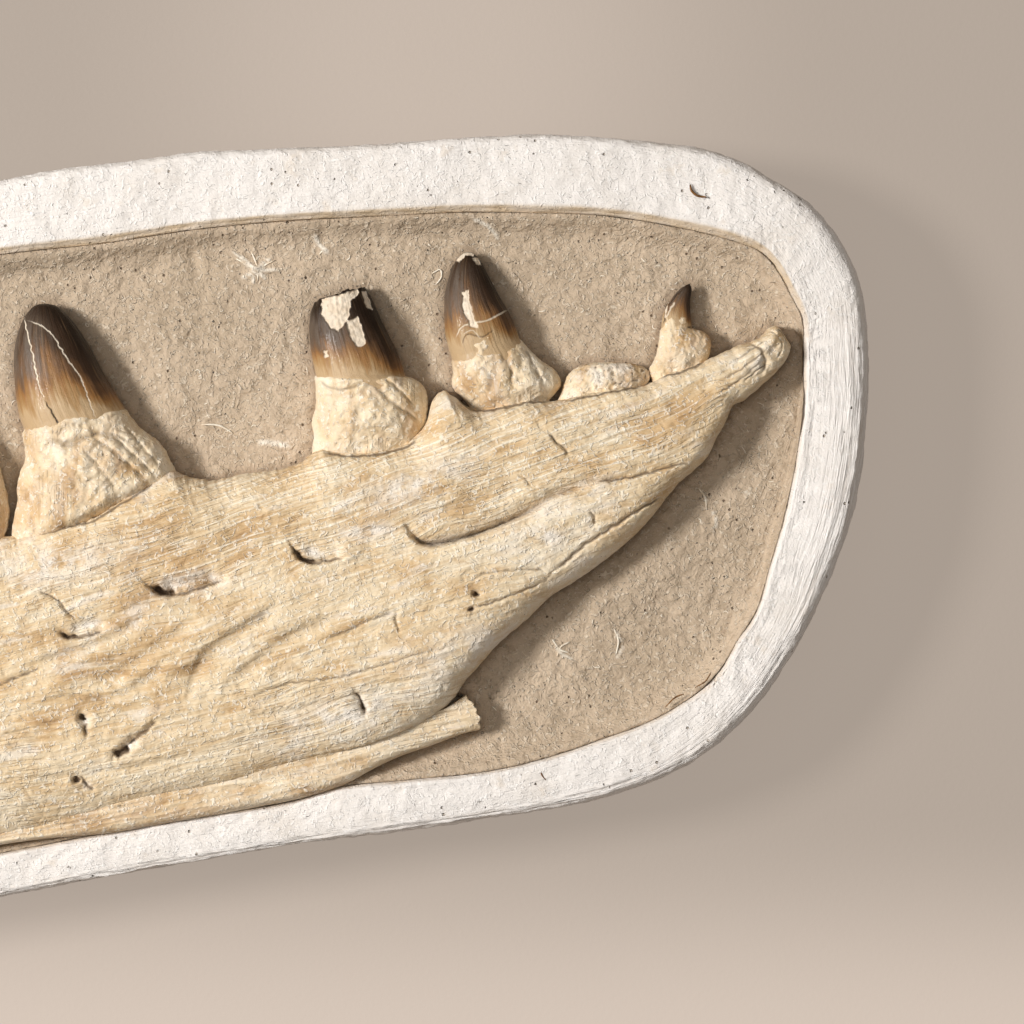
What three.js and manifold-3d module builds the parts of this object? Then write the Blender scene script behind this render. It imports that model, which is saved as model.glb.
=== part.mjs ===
import * as THREE from "three";
import { mergeVertices } from "three/addons/utils/BufferGeometryUtils.js";
import Module from "manifold-3d";

// The front bone (dentary) of a mosasaur's lower jaw, with its teeth, lying in a block of marl that
// a plaster jacket holds. The block lies on its back and the jaw faces up.
// Sizes are in millimetres. Outlines are drawn in the plane of the block: the tip of the jaw is at
// 0, 0, x runs forward along the jaw and y runs from its lower to its toothed edge.

const wasm = await Module();
wasm.setup();

// Driving dimensions
const BLOCK_TILT = 9.4; // degrees that the block leans in its drawing plane
const JACKET_FLOOR = 10; // plaster under the marl
const MARL_TOP = 46;
const RIM_RISE = 9; // the crest of the rim above the marl
const RIM_WIDEST = 12; // height at which the jacket is widest
const RIM_SQUARE = 6; // power of the curve over the rim: 2 is round, and more is squarer
const FOOT_SHARE = 0.94; // where the jacket's foot stands, as a share of its rim's width
const LIP_SHARE = 0.1; // width of the rounding at the rim's inner edge, of the rim's width
const LIP_DROPS = [0.5, 2.5]; // how far that rounding falls
const GAP = 0.3; // between neighbouring pieces
const BONE_BED = 6; // how deep the bones are let into the marl
const BONE_RISE = 25; // the jaw's middle above the marl
const TIP_RISE = 13; // the tip of the jaw above the marl
const TIP_SWELL = 90; // length over which the jaw rises to its full height
const BACK_RISE = 0.5; // height of the jaw's hind end, as a share of its middle's
const BACK_SWELL = 0.05; // share of the jaw over which it falls to that
const BACK_BOW = 15; // how far the jaw's hind end is bowed out
const BACK_BOW_START = 0.88; // share of the jaw where that bow begins
const SPLENIAL_RISE = 15;
const SPLENIAL_LAP = 6; // how far the splenial reaches in under the dentary before it is cut
const SPLENIAL_FRONT_RISE = 0.75; // height of its broken front end, as a share of its middle's
const SPLENIAL_SWELL = 0.12; // share of the splenial over which it falls to that
const BONE_SIDE = 0.22; // share of a bone's rise that stands as a steep side
const SPLENIAL_MEETS = [-136, -158]; // where the dentary's lower side rises to meet the splenial
const SPLENIAL_SIDES = [0.35, 0.9]; // as BONE_SIDE, for the splenial's lower and upper side
const BONE_ROUNDING = 6; // power of the curve across a bone: the higher, the flatter its face
const TOOTH_AXIS_RISE = 5; // the middle of the teeth above the marl
const TOOTH_SINK = 7; // how far a root runs into the jaw
const CROWN_DEPTH = 0.74; // a crown's thickness as a share of its width
const FOOT_DEPTH = 0.52; // the same at a root's wide foot
const CROWN_END = 0.985; // share of a whole crown's length at which its point is rounded off

// Facets
const RIM_SAMPLES = 104;
const RIM_STEPS = 6;
const JAW_STATIONS = 88;
const JAW_STRIPS = 9;
const SPLENIAL_STATIONS = 30;
const SPLENIAL_STRIPS = 4;
const TOOTH_SIDES = 10;
const CROWN_RINGS = 6;
const ROOT_RINGS = 4;
const MARL_COLUMNS = 36;
const MARL_ROWS = 14;

// Where the jacket's outer edge and its inner edge stand, going round from the front end over the
// toothed side, and the share of the rim's width that is level:
// [outer x, outer y, inner x, inner y, level].
const RIM = [
  [32, -23, 5.4, -24, 0.2],
  [31.5, -0.5, 5.6, -4, 0.2],
  [28.8, 23, 4.6, 9, 0.25],
  [21.4, 38.3, -0.6, 20, 0.3],
  [8.6, 54.7, -6.8, 30.6, 0.35],
  [-7.8, 66.4, -13.5, 36.6, 0.4],
  [-28.2, 75.6, -26, 41, 0.5],
  [-55.8, 80.2, -50, 46.3, 0.55],
  [-80.3, 82.3, -76, 50.2, 0.55],
  [-104, 83.3, -104, 51.2, 0.55],
  [-126, 82.6, -127, 51.4, 0.55],
  [-146.5, 80.8, -146, 50.8, 0.55],
  [-171, 78.8, -170, 49.6, 0.55],
  [-204, 77.7, -203, 47.8, 0.55],
  [-238, 75.9, -236, 44.7, 0.55],
  [-278, 71, -276, 38.8, 0.55],
  [-318, 64.5, -316, 34.4, 0.55],
  [-400, 51, -400, 20.5, 0.55],
  [-500, 34.5, -500, 4.5, 0.55],
  [-600, 18, -600, -12, 0.55],
  [-665, 4, -662, -25, 0.5],
  [-707, -13, -692, -38, 0.45],
  [-736, -42, -711, -60, 0.4],
  [-750, -82, -721, -90, 0.35],
  [-754, -130, -725, -132, 0.35],
  [-753, -180, -725, -178, 0.35],
  [-745, -226, -719, -214, 0.4],
  [-722, -260, -702, -240, 0.45],
  [-688, -278, -676, -255, 0.5],
  [-640, -278.5, -640, -258, 0.55],
  [-560, -264.2, -560, -245.8, 0.55],
  [-480, -250.8, -480, -232.6, 0.55],
  [-400, -237.4, -400, -219.5, 0.55],
  [-318, -223.5, -316, -205.6, 0.55],
  [-279, -216.2, -276, -197.7, 0.55],
  [-238, -209, -236, -190.6, 0.55],
  [-202, -203.4, -200, -184.8, 0.55],
  [-181, -200.3, -178.4, -178.8, 0.55],
  [-156.5, -196.8, -156, -176.6, 0.55],
  [-124, -192.5, -123.6, -173.2, 0.55],
  [-98.7, -188.6, -98, -167.6, 0.5],
  [-76.2, -184, -75.2, -160, 0.5],
  [-55.8, -177.8, -55, -152.4, 0.45],
  [-35.4, -166.6, -36.5, -141, 0.4],
  [-18, -151.8, -27, -131, 0.35],
  [-1.6, -131.3, -20.5, -120, 0.3],
  [10.6, -109.4, -13.5, -109, 0.25],
  [19.8, -87.4, -8, -91, 0.2],
  [26.3, -68, -2, -70, 0.2],
  [30, -47.5, 2.5, -48, 0.2],
];

// The toothed edge of the jaw, from its tip back. It rises between teeth and dips at a lost tooth.
const DORSAL_EDGE = [
  [-1.5, 1],
  [-6, 5.8],
  [-13, 0.6],
  [-21, -2.2],
  [-32.4, -7.6],
  [-41.6, -11.4],
  [-50, -14],
  [-59, -18.4],
  [-69, -19.2],
  [-82, -21.8],
  [-93, -24.2],
  [-105, -24.6],
  [-115, -26.4],
  [-123, -28],
  [-129, -26.5],
  [-134, -23],
  [-139, -20.2],
  [-143, -24],
  [-145.6, -33],
  [-150, -38.2],
  [-157, -42.8],
  [-165, -44.6],
  [-178, -45.6],
  [-189, -44],
  [-196, -49],
  [-204, -51.6],
  [-220, -53.6],
  [-230, -56],
  [-242, -54.4],
  [-248, -52],
  [-254, -56.5],
  [-267, -64.6],
  [-278, -71.6],
  [-298, -76.8],
  [-316, -78.8],
  [-342, -83],
  [-372, -80],
  [-402, -88.5],
  [-432, -86],
  [-462, -97],
  [-488, -98],
  [-516, -105],
  [-544, -105.5],
  [-570, -113.5],
  [-596, -113],
  [-618, -121.5],
  [-642, -121],
  [-662, -128.5],
  [-684, -130],
  [-694, -133],
];

// The lower edge of the dentary, from its tip back.
const VENTRAL_EDGE = [
  [0.8, -1.8],
  [-1, -7.4],
  [-6, -13.4],
  [-12.4, -19.2],
  [-19.4, -24.8],
  [-22.6, -26],
  [-25.6, -32.8],
  [-29, -38.6],
  [-33, -46.8],
  [-37, -51],
  [-44.6, -57.6],
  [-57.8, -73.8],
  [-70, -85],
  [-85.4, -96.2],
  [-95.6, -102.6],
  [-105.8, -112.4],
  [-116, -121],
  [-125.3, -131.5],
  [-130.6, -137.4],
  [-134, -143],
  [-142.4, -150.2],
  [-160.4, -158.3],
  [-173.2, -162.6],
  [-193.6, -167],
  [-224, -175.8],
  [-261, -183.4],
  [-296, -193],
  [-316, -197.2],
  [-356, -203.5],
  [-396, -210.4],
  [-476, -223],
  [-556, -234],
  [-612, -239],
  [-650, -239],
  [-672, -233],
];

// The lower edge of the splenial, from its broken front end back. Its upper edge is the dentary's.
const SPLENIAL_EDGE = [
  [-124.2, -156.2],
  [-131.2, -157.8],
  [-143.4, -162.4],
  [-155.7, -166.6],
  [-165.2, -171],
  [-178.4, -178],
  [-193.6, -183],
  [-214, -187.2],
  [-254.8, -194.4],
  [-272, -197.4],
  [-296, -199.4],
  [-316, -202],
  [-396, -216],
  [-476, -230],
  [-556, -242],
  [-612, -248],
  [-650, -249],
  [-668, -243],
];
const SPLENIAL_FRONT = [-129.6, -142.6];
const SPLENIAL_JOINS = -140; // behind this it lies against the dentary

// The teeth from the tip back. root is the left and the right end of the line where the root meets
// the jaw, neck the left and the right end of the crown's base, tip the crown's point. bow is how
// far the crown's left and right sides and the root's left and right sides stand out. left is the
// share of a broken crown that is left. A root without a tip has lost its crown. The fifth and the
// ninth tooth are lost, root and all.
const TEETH = [
  {
    root: [-56.8, -13.4, -32.8, -7.2],
    neck: [-51.6, 3.6, -38.6, 4.4],
    tip: [-40.2, 22.8],
    bow: [4, -1.2, 0.5, 4],
  },
  { root: [-90.6, -24, -59.4, -18.4], neck: [-83.5, -11.4, -64.5, -10], bow: [0, 0, 2.5, 1.5] },
  {
    root: [-130, -26, -94.6, -19.8],
    neck: [-135.2, -8.4, -108.4, 0.2],
    tip: [-129, 35.6],
    bow: [6, 2, 1, 1],
  },
  {
    root: [-190.4, -43.6, -149.4, -38.6],
    neck: [-190, -14.4, -155, -10.8],
    tip: [-184, 44],
    bow: [6, 3, -1, 7],
    left: 0.56,
  },
  {
    root: [-310.4, -79, -248, -52],
    neck: [-306.4, -36.6, -263.6, -29.4],
    tip: [-299.5, 14.6],
    bow: [7.5, 3.5, -1.5, 1.5],
  },
  {
    root: [-371, -84, -315, -78],
    neck: [-363.5, -45, -325, -38.6],
    tip: [-354, 6],
    bow: [7, 3, 1, 5],
  },
  {
    root: [-430, -89, -376, -84],
    neck: [-423.5, -50, -386, -44.8],
    tip: [-416, -3],
    bow: [6, 3, 1, 4],
  },
  {
    root: [-543, -108.6, -492, -101],
    neck: [-537, -73, -501, -67.4],
    tip: [-530, -29],
    bow: [6, 3, 1, 3],
  },
  {
    root: [-595, -117.4, -547, -110],
    neck: [-589.6, -83.4, -555.6, -78],
    tip: [-583, -43],
    bow: [6, 3, 1, 3],
  },
  { root: [-639, -124.6, -599, -118.6], neck: [-632, -107, -605, -101.6], bow: [0, 0, 3, 2] },
  {
    root: [-679, -130.6, -647, -126.2],
    neck: [-675, -106.6, -651, -103],
    tip: [-669, -78],
    bow: [5, 3, 0.5, 2],
  },
];

const MARL_SLAB = { left: -760, right: 40, low: -290, high: 90 }; // before the jacket's shape cuts it

// Dips in the face of the marl: middle, spread along x and y, and depth.
const MARL_HOLLOWS = [
  { at: [-226, -42], spread: [26, 16], depth: 3.2 },
  { at: [-100, 24], spread: [60, 24], depth: 0.9 },
  { at: [-70, -128], spread: [40, 26], depth: 1.4 },
  { at: [-466, -72], spread: [30, 18], depth: 2.8 },
  { at: [-330, 10], spread: [80, 20], depth: 0.8 },
  { at: [-600, -60], spread: [70, 30], depth: 1.2 },
];

// A smooth line through x, y points, which may carry a third number.
function lineThrough(points, closed = false) {
  const at = points.map(([x, y, z = 0]) => new THREE.Vector3(x, y, z));
  return new THREE.CatmullRomCurve3(at, closed, "centripetal");
}

// A geometry's solid.
function solidOf(geometry) {
  const merged = mergeVertices(geometry, 1e-4);
  return new wasm.Manifold(
    new wasm.Mesh({
      numProp: 3,
      vertProperties: merged.attributes.position.array,
      triVerts: new Uint32Array(merged.index.array),
    }),
  );
}

// The closed skin over a row of rings that have the same number of points.
function loft(rings) {
  const sides = rings[0].length;
  const positions = rings.flat().flatMap((p) => [p.x, p.y, p.z]);
  const triangles = [];
  for (let r = 0; r + 1 < rings.length; r++)
    for (let s = 0; s < sides; s++) {
      const a = r * sides + s;
      const b = r * sides + ((s + 1) % sides);
      triangles.push(a, b, b + sides, a, b + sides, a + sides);
    }
  for (const [ring, turned] of [[0, true], [rings.length - 1, false]]) {
    const middle = new THREE.Vector3();
    rings[ring].forEach((p) => middle.addScaledVector(p, 1 / sides));
    const hub = positions.length / 3;
    positions.push(middle.x, middle.y, middle.z);
    for (let s = 0; s < sides; s++) {
      const a = ring * sides + s;
      const b = ring * sides + ((s + 1) % sides);
      triangles.push(...(turned ? [b, a, hub] : [a, b, hub]));
    }
  }
  const geometry = new THREE.BufferGeometry();
  geometry.setAttribute("position", new THREE.Float32BufferAttribute(positions, 3));
  geometry.setIndex(triangles);
  const solid = solidOf(geometry);
  return solid.volume() < 0 ? solidOf(turnedOver(geometry)) : solid;
}

// The same skin with its faces turned the other way.
function turnedOver(geometry) {
  const index = geometry.index.array;
  for (let i = 0; i < index.length; i += 3) [index[i + 1], index[i + 2]] = [index[i + 2], index[i + 1]];
  return geometry;
}

// A named mesh of a solid's largest body, as a cut may leave scraps.
function meshOf(name, solid, material) {
  const made = solid.decompose().reduce((a, b) => (b.volume() > a.volume() ? b : a)).getMesh();
  const geometry = new THREE.BufferGeometry();
  geometry.setAttribute("position", new THREE.Float32BufferAttribute(made.vertProperties, 3));
  geometry.setIndex(Array.from(made.triVerts));
  geometry.computeVertexNormals();
  const mesh = new THREE.Mesh(geometry, material);
  mesh.name = name;
  return mesh;
}

// Rim: the plaster jacket and the marl in it

const rimOuter = lineThrough(RIM.map(([x, y, , , level]) => [x, y, level]), true);
const rimInner = lineThrough(RIM.map(([, , x, y]) => [x, y]), true);

// The jacket's inner and outer edge at one sample, and the share of the rim that is level there.
function rimAt(sample) {
  const inner = rimInner.getPoint(sample / RIM_SAMPLES);
  const outer = rimOuter.getPoint(sample / RIM_SAMPLES);
  const level = outer.z;
  return { inner, outer: outer.setZ(0), level };
}

// The points round the block: sectionAt tells how far out each stands, from 0 at the jacket's inner
// edge to 1 at its outer edge, and how high.
function rimRing(sectionAt) {
  return Array.from({ length: RIM_SAMPLES }, (_, i) => {
    const { inner, outer, level } = rimAt(i);
    const [share, height] = sectionAt(level);
    return inner.lerp(outer, share).setZ(height);
  });
}

// The space inside the jacket between two heights, smaller all round by shrink.
function insideOfJacket(from, to, shrink) {
  const ringAt = (height) =>
    Array.from({ length: RIM_SAMPLES }, (_, i) => {
      const { inner, outer } = rimAt(i);
      const inward = inner.clone().sub(outer).normalize();
      return inner.addScaledVector(inward, shrink).setZ(height);
    });
  return loft([ringAt(from), ringAt(to)]);
}

function jacketSolid() {
  const crest = MARL_TOP + RIM_RISE;
  const rings = [rimRing(() => [FOOT_SHARE, 0])];
  for (let k = RIM_STEPS; k >= 0; k--) {
    const turn = (Math.PI / 2) * (k / RIM_STEPS);
    const out = Math.sin(turn) ** (2 / RIM_SQUARE);
    const up = Math.max(0, Math.cos(turn)) ** (2 / RIM_SQUARE);
    const height = THREE.MathUtils.lerp(RIM_WIDEST, crest, up);
    rings.push(rimRing((level) => [level + (1 - level) * out, height]));
  }
  rings.push(rimRing(() => [LIP_SHARE, crest - LIP_DROPS[0]]));
  rings.push(rimRing(() => [0, crest - LIP_DROPS[1]]));
  return loft(rings).subtract(insideOfJacket(JACKET_FLOOR, crest * 2, 0));
}

function marlHeight(x, y) {
  return MARL_HOLLOWS.reduce((height, { at, spread, depth }) => {
    const u = (x - at[0]) / spread[0];
    const v = (y - at[1]) / spread[1];
    return height - depth * Math.exp(-u * u - v * v);
  }, MARL_TOP);
}

// The marl, or with raise the same body carried up by that much, which the teeth are cut with.
function marlSolid(raise = 0) {
  const { left, right, low, high } = MARL_SLAB;
  const rings = [];
  for (let i = 0; i <= MARL_COLUMNS; i++) {
    const x = THREE.MathUtils.lerp(left, right, i / MARL_COLUMNS);
    const ring = [new THREE.Vector3(x, low, JACKET_FLOOR + GAP)];
    for (let j = 0; j <= MARL_ROWS; j++) {
      const y = THREE.MathUtils.lerp(low, high, j / MARL_ROWS);
      ring.push(new THREE.Vector3(x, y, marlHeight(x, y) + raise));
    }
    ring.push(new THREE.Vector3(x, high, JACKET_FLOOR + GAP));
    rings.push(ring);
  }
  const slab = loft(rings);
  return slab.intersect(insideOfJacket(0, MARL_TOP * 2, GAP));
}

// Bones: each is lofted between its lower and its upper edge

// A bone's section from its lower to its upper edge, standing in a flat bed. sides are the heights
// above the marl at those edges.
function boneSection(lower, upper, rise, sides, strips, grow) {
  const bed = MARL_TOP - BONE_BED - grow;
  const ring = [lower.clone().setZ(bed)];
  for (let k = 0; k <= strips; k++) {
    const across = 0.5 - 0.5 * Math.cos((Math.PI * k) / strips);
    const dome = Math.sqrt(Math.max(0, 1 - Math.abs(2 * across - 1) ** BONE_ROUNDING));
    const height = THREE.MathUtils.lerp(sides[across < 0.5 ? 0 : 1], rise, dome);
    ring.push(lower.clone().lerp(upper, across).setZ(MARL_TOP + height));
  }
  ring.push(upper.clone().setZ(bed));
  return ring;
}

// A bone's two edges moved apart by grow.
function apart(lower, upper, grow) {
  const out = upper.clone().sub(lower).normalize().multiplyScalar(grow);
  return [lower.clone().sub(out), upper.clone().add(out)];
}

// How high the roots of the teeth stand at the jaw's upper edge.
function rootHeight(x) {
  return TEETH.reduce((height, { root }) => {
    const half = (root[2] - root[0]) / 2;
    const off = (x - (root[0] + root[2]) / 2) / half;
    const bulge = Math.sqrt(Math.max(0, 1 - off * off));
    return Math.max(height, (TOOTH_AXIS_RISE + FOOT_DEPTH * half) * bulge);
  }, 0);
}

// The same ring moved along the jaw.
function slid(ring, distance) {
  return ring.map((point) => point.clone().setX(point.x + distance));
}

function dentarySolid(grow = 0) {
  const dorsal = lineThrough(DORSAL_EDGE);
  const ventral = lineThrough(VENTRAL_EDGE);
  const rings = [];
  for (let i = 0; i <= JAW_STATIONS; i++) {
    const along = i / JAW_STATIONS;
    const [lower, upper] = apart(ventral.getPointAt(along), dorsal.getPointAt(along), grow);
    const fromTip = Math.sqrt(Math.min(1, -(lower.x + upper.x) / 2 / TIP_SWELL));
    const fromBack = THREE.MathUtils.lerp(BACK_RISE, 1, Math.min(1, (1 - along) / BACK_SWELL));
    const rise = THREE.MathUtils.lerp(TIP_RISE, BONE_RISE, fromTip) * fromBack + grow;
    const plain = BONE_SIDE * rise;
    const meets = 1 - THREE.MathUtils.smoothstep(lower.x, SPLENIAL_MEETS[1], SPLENIAL_MEETS[0]);
    const lowSide = THREE.MathUtils.lerp(plain, SPLENIAL_RISE, meets);
    const highSide = Math.max(plain, Math.min(rise, rootHeight(upper.x)));
    const ring = boneSection(lower, upper, rise, [lowSide, highSide], JAW_STRIPS, grow);
    const bow = BACK_BOW * THREE.MathUtils.smoothstep(along, BACK_BOW_START, 1);
    const width = upper.distanceTo(lower);
    for (const point of ring) {
      const across = Math.hypot(point.x - lower.x, point.y - lower.y) / width;
      point.x -= bow * 4 * across * (1 - across);
    }
    rings.push(ring);
  }
  if (grow) {
    rings.unshift(slid(rings[0], grow));
    rings.push(slid(rings.at(-1), -grow));
  }
  return loft(rings);
}

// The splenial runs under the dentary, a little way in, and the dentary then cuts it to fit.
function splenialSolid(grow = 0) {
  const lowerEdge = lineThrough(SPLENIAL_EDGE);
  const upperEdge = lineThrough([SPLENIAL_FRONT, ...VENTRAL_EDGE.filter(([x]) => x < SPLENIAL_JOINS)]);
  const rings = [];
  for (let i = 0; i <= SPLENIAL_STATIONS; i++) {
    const along = i / SPLENIAL_STATIONS;
    const upperPoint = upperEdge.getPointAt(along);
    if (upperPoint.x < SPLENIAL_JOINS) upperPoint.y += SPLENIAL_LAP;
    const [lower, upper] = apart(lowerEdge.getPointAt(along), upperPoint, grow);
    const fromFront = THREE.MathUtils.lerp(SPLENIAL_FRONT_RISE, 1, Math.min(1, along / SPLENIAL_SWELL));
    const rise = SPLENIAL_RISE * fromFront + grow;
    const sides = SPLENIAL_SIDES.map((share) => share * rise);
    rings.push(boneSection(lower, upper, rise, sides, SPLENIAL_STRIPS, grow));
  }
  return loft(rings);
}

// Teeth: each is lofted between its left and its right side

// The point at t on the bowed line from a to b. bow moves its middle to the left of the way there.
function bowed(a, b, bow, t) {
  const way = b.clone().sub(a);
  const toLeft = new THREE.Vector3(-way.y, way.x, 0).normalize();
  return a.clone().lerp(b, t).addScaledVector(toLeft, bow * 4 * t * (1 - t));
}

// An upright ellipse from the left point to the right one.
function toothRing(left, right, depth) {
  const middle = left.clone().lerp(right, 0.5);
  const half = right.clone().sub(left).multiplyScalar(0.5);
  return Array.from({ length: TOOTH_SIDES }, (_, s) => {
    const angle = (2 * Math.PI * s) / TOOTH_SIDES;
    const point = middle.clone().addScaledVector(half, Math.cos(angle));
    return point.setZ(MARL_TOP + TOOTH_AXIS_RISE + half.length() * depth * Math.sin(angle));
  });
}

const ends = ([ax, ay, bx, by]) => [new THREE.Vector3(ax, ay, 0), new THREE.Vector3(bx, by, 0)];

function toothSolid({ root, neck, tip, bow, left = CROWN_END }) {
  const [footLeft, footRight] = ends(root);
  const [neckLeft, neckRight] = ends(neck);
  const up = neckLeft.clone().add(neckRight).sub(footLeft).sub(footRight).normalize();
  const rings = [];
  for (let i = 0; i <= ROOT_RINGS; i++) {
    const t = i / ROOT_RINGS;
    const sink = -TOOTH_SINK * (1 - t) ** 3;
    const onLeft = bowed(footLeft, neckLeft, bow[2], t).addScaledVector(up, sink);
    const onRight = bowed(footRight, neckRight, -bow[3], t).addScaledVector(up, sink);
    rings.push(toothRing(onLeft, onRight, THREE.MathUtils.lerp(FOOT_DEPTH, CROWN_DEPTH, t)));
  }
  if (!tip) return loft(rings);
  const point = new THREE.Vector3(...tip, 0);
  for (let i = 1; i <= CROWN_RINGS; i++) {
    const t = (i / CROWN_RINGS) * left;
    const onLeft = bowed(neckLeft, point, bow[0], t);
    const onRight = bowed(neckRight, point, -bow[1], t);
    rings.push(toothRing(onLeft, onRight, CROWN_DEPTH));
  }
  return loft(rings);
}

// Materials

const finish = (color, roughness) => new THREE.MeshStandardMaterial({ color, roughness, metalness: 0 });
const plaster = finish(0xebe3da, 0.9);
const marl = finish(0xb9a083, 0.95);
const bone = finish(0xdcc29a, 0.75);

// The block, drawn in its plane, then turned straight and set on its middle

const jawBed = dentarySolid(GAP);
const beds = jawBed.add(splenialSolid(GAP));
const raisedMarl = marlSolid(GAP);
const teeth = TEETH.map((tooth) => toothSolid(tooth).subtract(raisedMarl));
const jaw = teeth.reduce((whole, tooth) => whole.add(tooth), dentarySolid());

const specimen = new THREE.Group();
specimen.add(meshOf("plaster_jacket", jacketSolid().subtract(beds), plaster));
specimen.add(meshOf("marl_matrix", marlSolid().subtract(beds), marl));
specimen.add(meshOf("dentary", jaw, bone));
specimen.add(meshOf("splenial", splenialSolid().subtract(jawBed), bone));

specimen.rotation.z = THREE.MathUtils.degToRad(-BLOCK_TILT);
const middle = new THREE.Box3().setFromObject(specimen, true).getCenter(new THREE.Vector3());
specimen.position.set(-middle.x, -middle.y, 0);

const fossilJaw = new THREE.Group();
fossilJaw.add(specimen);

export default fossilJaw;
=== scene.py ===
"""A mosasaur's lower jaw in its marl and plaster jacket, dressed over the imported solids.

Outlines and surface features are in millimetres in the block's drawing plane: 0, 0 is the tip of
the jaw, x runs forward along the jaw and y from its lower to its toothed edge. Heights are in
millimetres over the floor. placed() turns them into metres in the frame.
"""
import math

import bpy
import numpy as np
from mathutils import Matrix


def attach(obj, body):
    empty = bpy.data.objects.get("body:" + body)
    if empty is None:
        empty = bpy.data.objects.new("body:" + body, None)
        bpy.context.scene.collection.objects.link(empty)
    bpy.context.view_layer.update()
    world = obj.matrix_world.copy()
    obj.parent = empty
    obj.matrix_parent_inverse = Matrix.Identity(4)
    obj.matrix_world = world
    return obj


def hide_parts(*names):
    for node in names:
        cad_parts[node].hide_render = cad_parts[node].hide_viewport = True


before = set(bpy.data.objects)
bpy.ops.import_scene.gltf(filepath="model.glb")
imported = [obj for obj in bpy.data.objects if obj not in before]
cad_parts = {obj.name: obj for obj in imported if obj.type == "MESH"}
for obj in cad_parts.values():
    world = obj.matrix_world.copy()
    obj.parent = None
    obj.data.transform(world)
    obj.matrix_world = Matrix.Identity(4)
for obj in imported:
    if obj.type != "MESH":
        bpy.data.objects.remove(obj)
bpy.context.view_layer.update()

MM = 0.001

# The block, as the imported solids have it
BLOCK_TILT = math.radians(9.4)
BLOCK_PLACE = (370.676, 27.402)
JACKET_FLOOR = 10
MARL_TOP = 46
RIM_CREST = 55
RIM_WIDEST = 12
FOOT_SHARE = 0.94
UNDERSIDE_SHARE = 0.64
RIM_SQUARE = 8  # 2 is a round rim, and more is a squarer one
LIP_SHARE = 0.07
LIP_DROPS = (0.5, 2.5)  # how far the rounding of the rim's inner edge falls
INNER_WALL = 10
BONE_BED = 6
BONE_RISE = 25
TIP_RISE = 13
TIP_SWELL = 90
TIP_ROUND = 8
TIP_END = 0.2  # height of the tip's very end, as a share of the bone's
CREST_LIMIT = 71.4
CREST_SPARE = 1.0  # how far lumps of the bone may stand over the limit
BACK_RISE = 0.5
BACK_SWELL = 0.05
BACK_BOW = 15
BACK_BOW_START = 0.88
SPLENIAL_RISE = 15
SPLENIAL_LAP = 2
SPLENIAL_FRONT_RISE = 0.67  # height of its front end, as a share of its middle's
SPLENIAL_SWELL = 0.14
SPLENIAL_JOINS = -140
BONE_SIDE = 0.22
BONE_ROUNDING = 7
SPLENIAL_ROUNDING = 5
SIDE_EASED = (2.6, 0.35)  # how the jaw's lower side gets gentler by the splenial
EASED_FROM = -136
EASED_OVER = 22
TOOTH_AXIS = MARL_TOP + 5
TOOTH_SINK = 7
CROWN_DEPTH = 0.74
FOOT_DEPTH = 0.52
FACE_SINK = 0.4  # how far a tooth's underside lies under the marl's face
GAP = 0.3
SEEN_FROM = -335  # the camera sees what lies forward of this
FLAT_SIDES = 0.92  # the share of a piece's flat map that its sides take, and the caps have the rest

# How fine the meshes are: distances between points along a piece where the camera sees it and
# behind, and counts of points round or across
JAW_STEPS = (0.46, 1.5)
JAW_STRIPS = 230
SPLENIAL_STEPS = (0.6, 2)
SPLENIAL_STRIPS = 48
RIM_STEPS = (1.15, 3.2)
MARL_STEP = 1.1
MARL_COLUMNS_BEHIND = 190
MARL_ACROSS = 226
CROWN_SEEN, CROWN_BEHIND = (0.26, 260), (1.2, 48)
ROOT_SEEN, ROOT_BEHIND = (0.42, 170), (1.6, 48)

# Outlines

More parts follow.
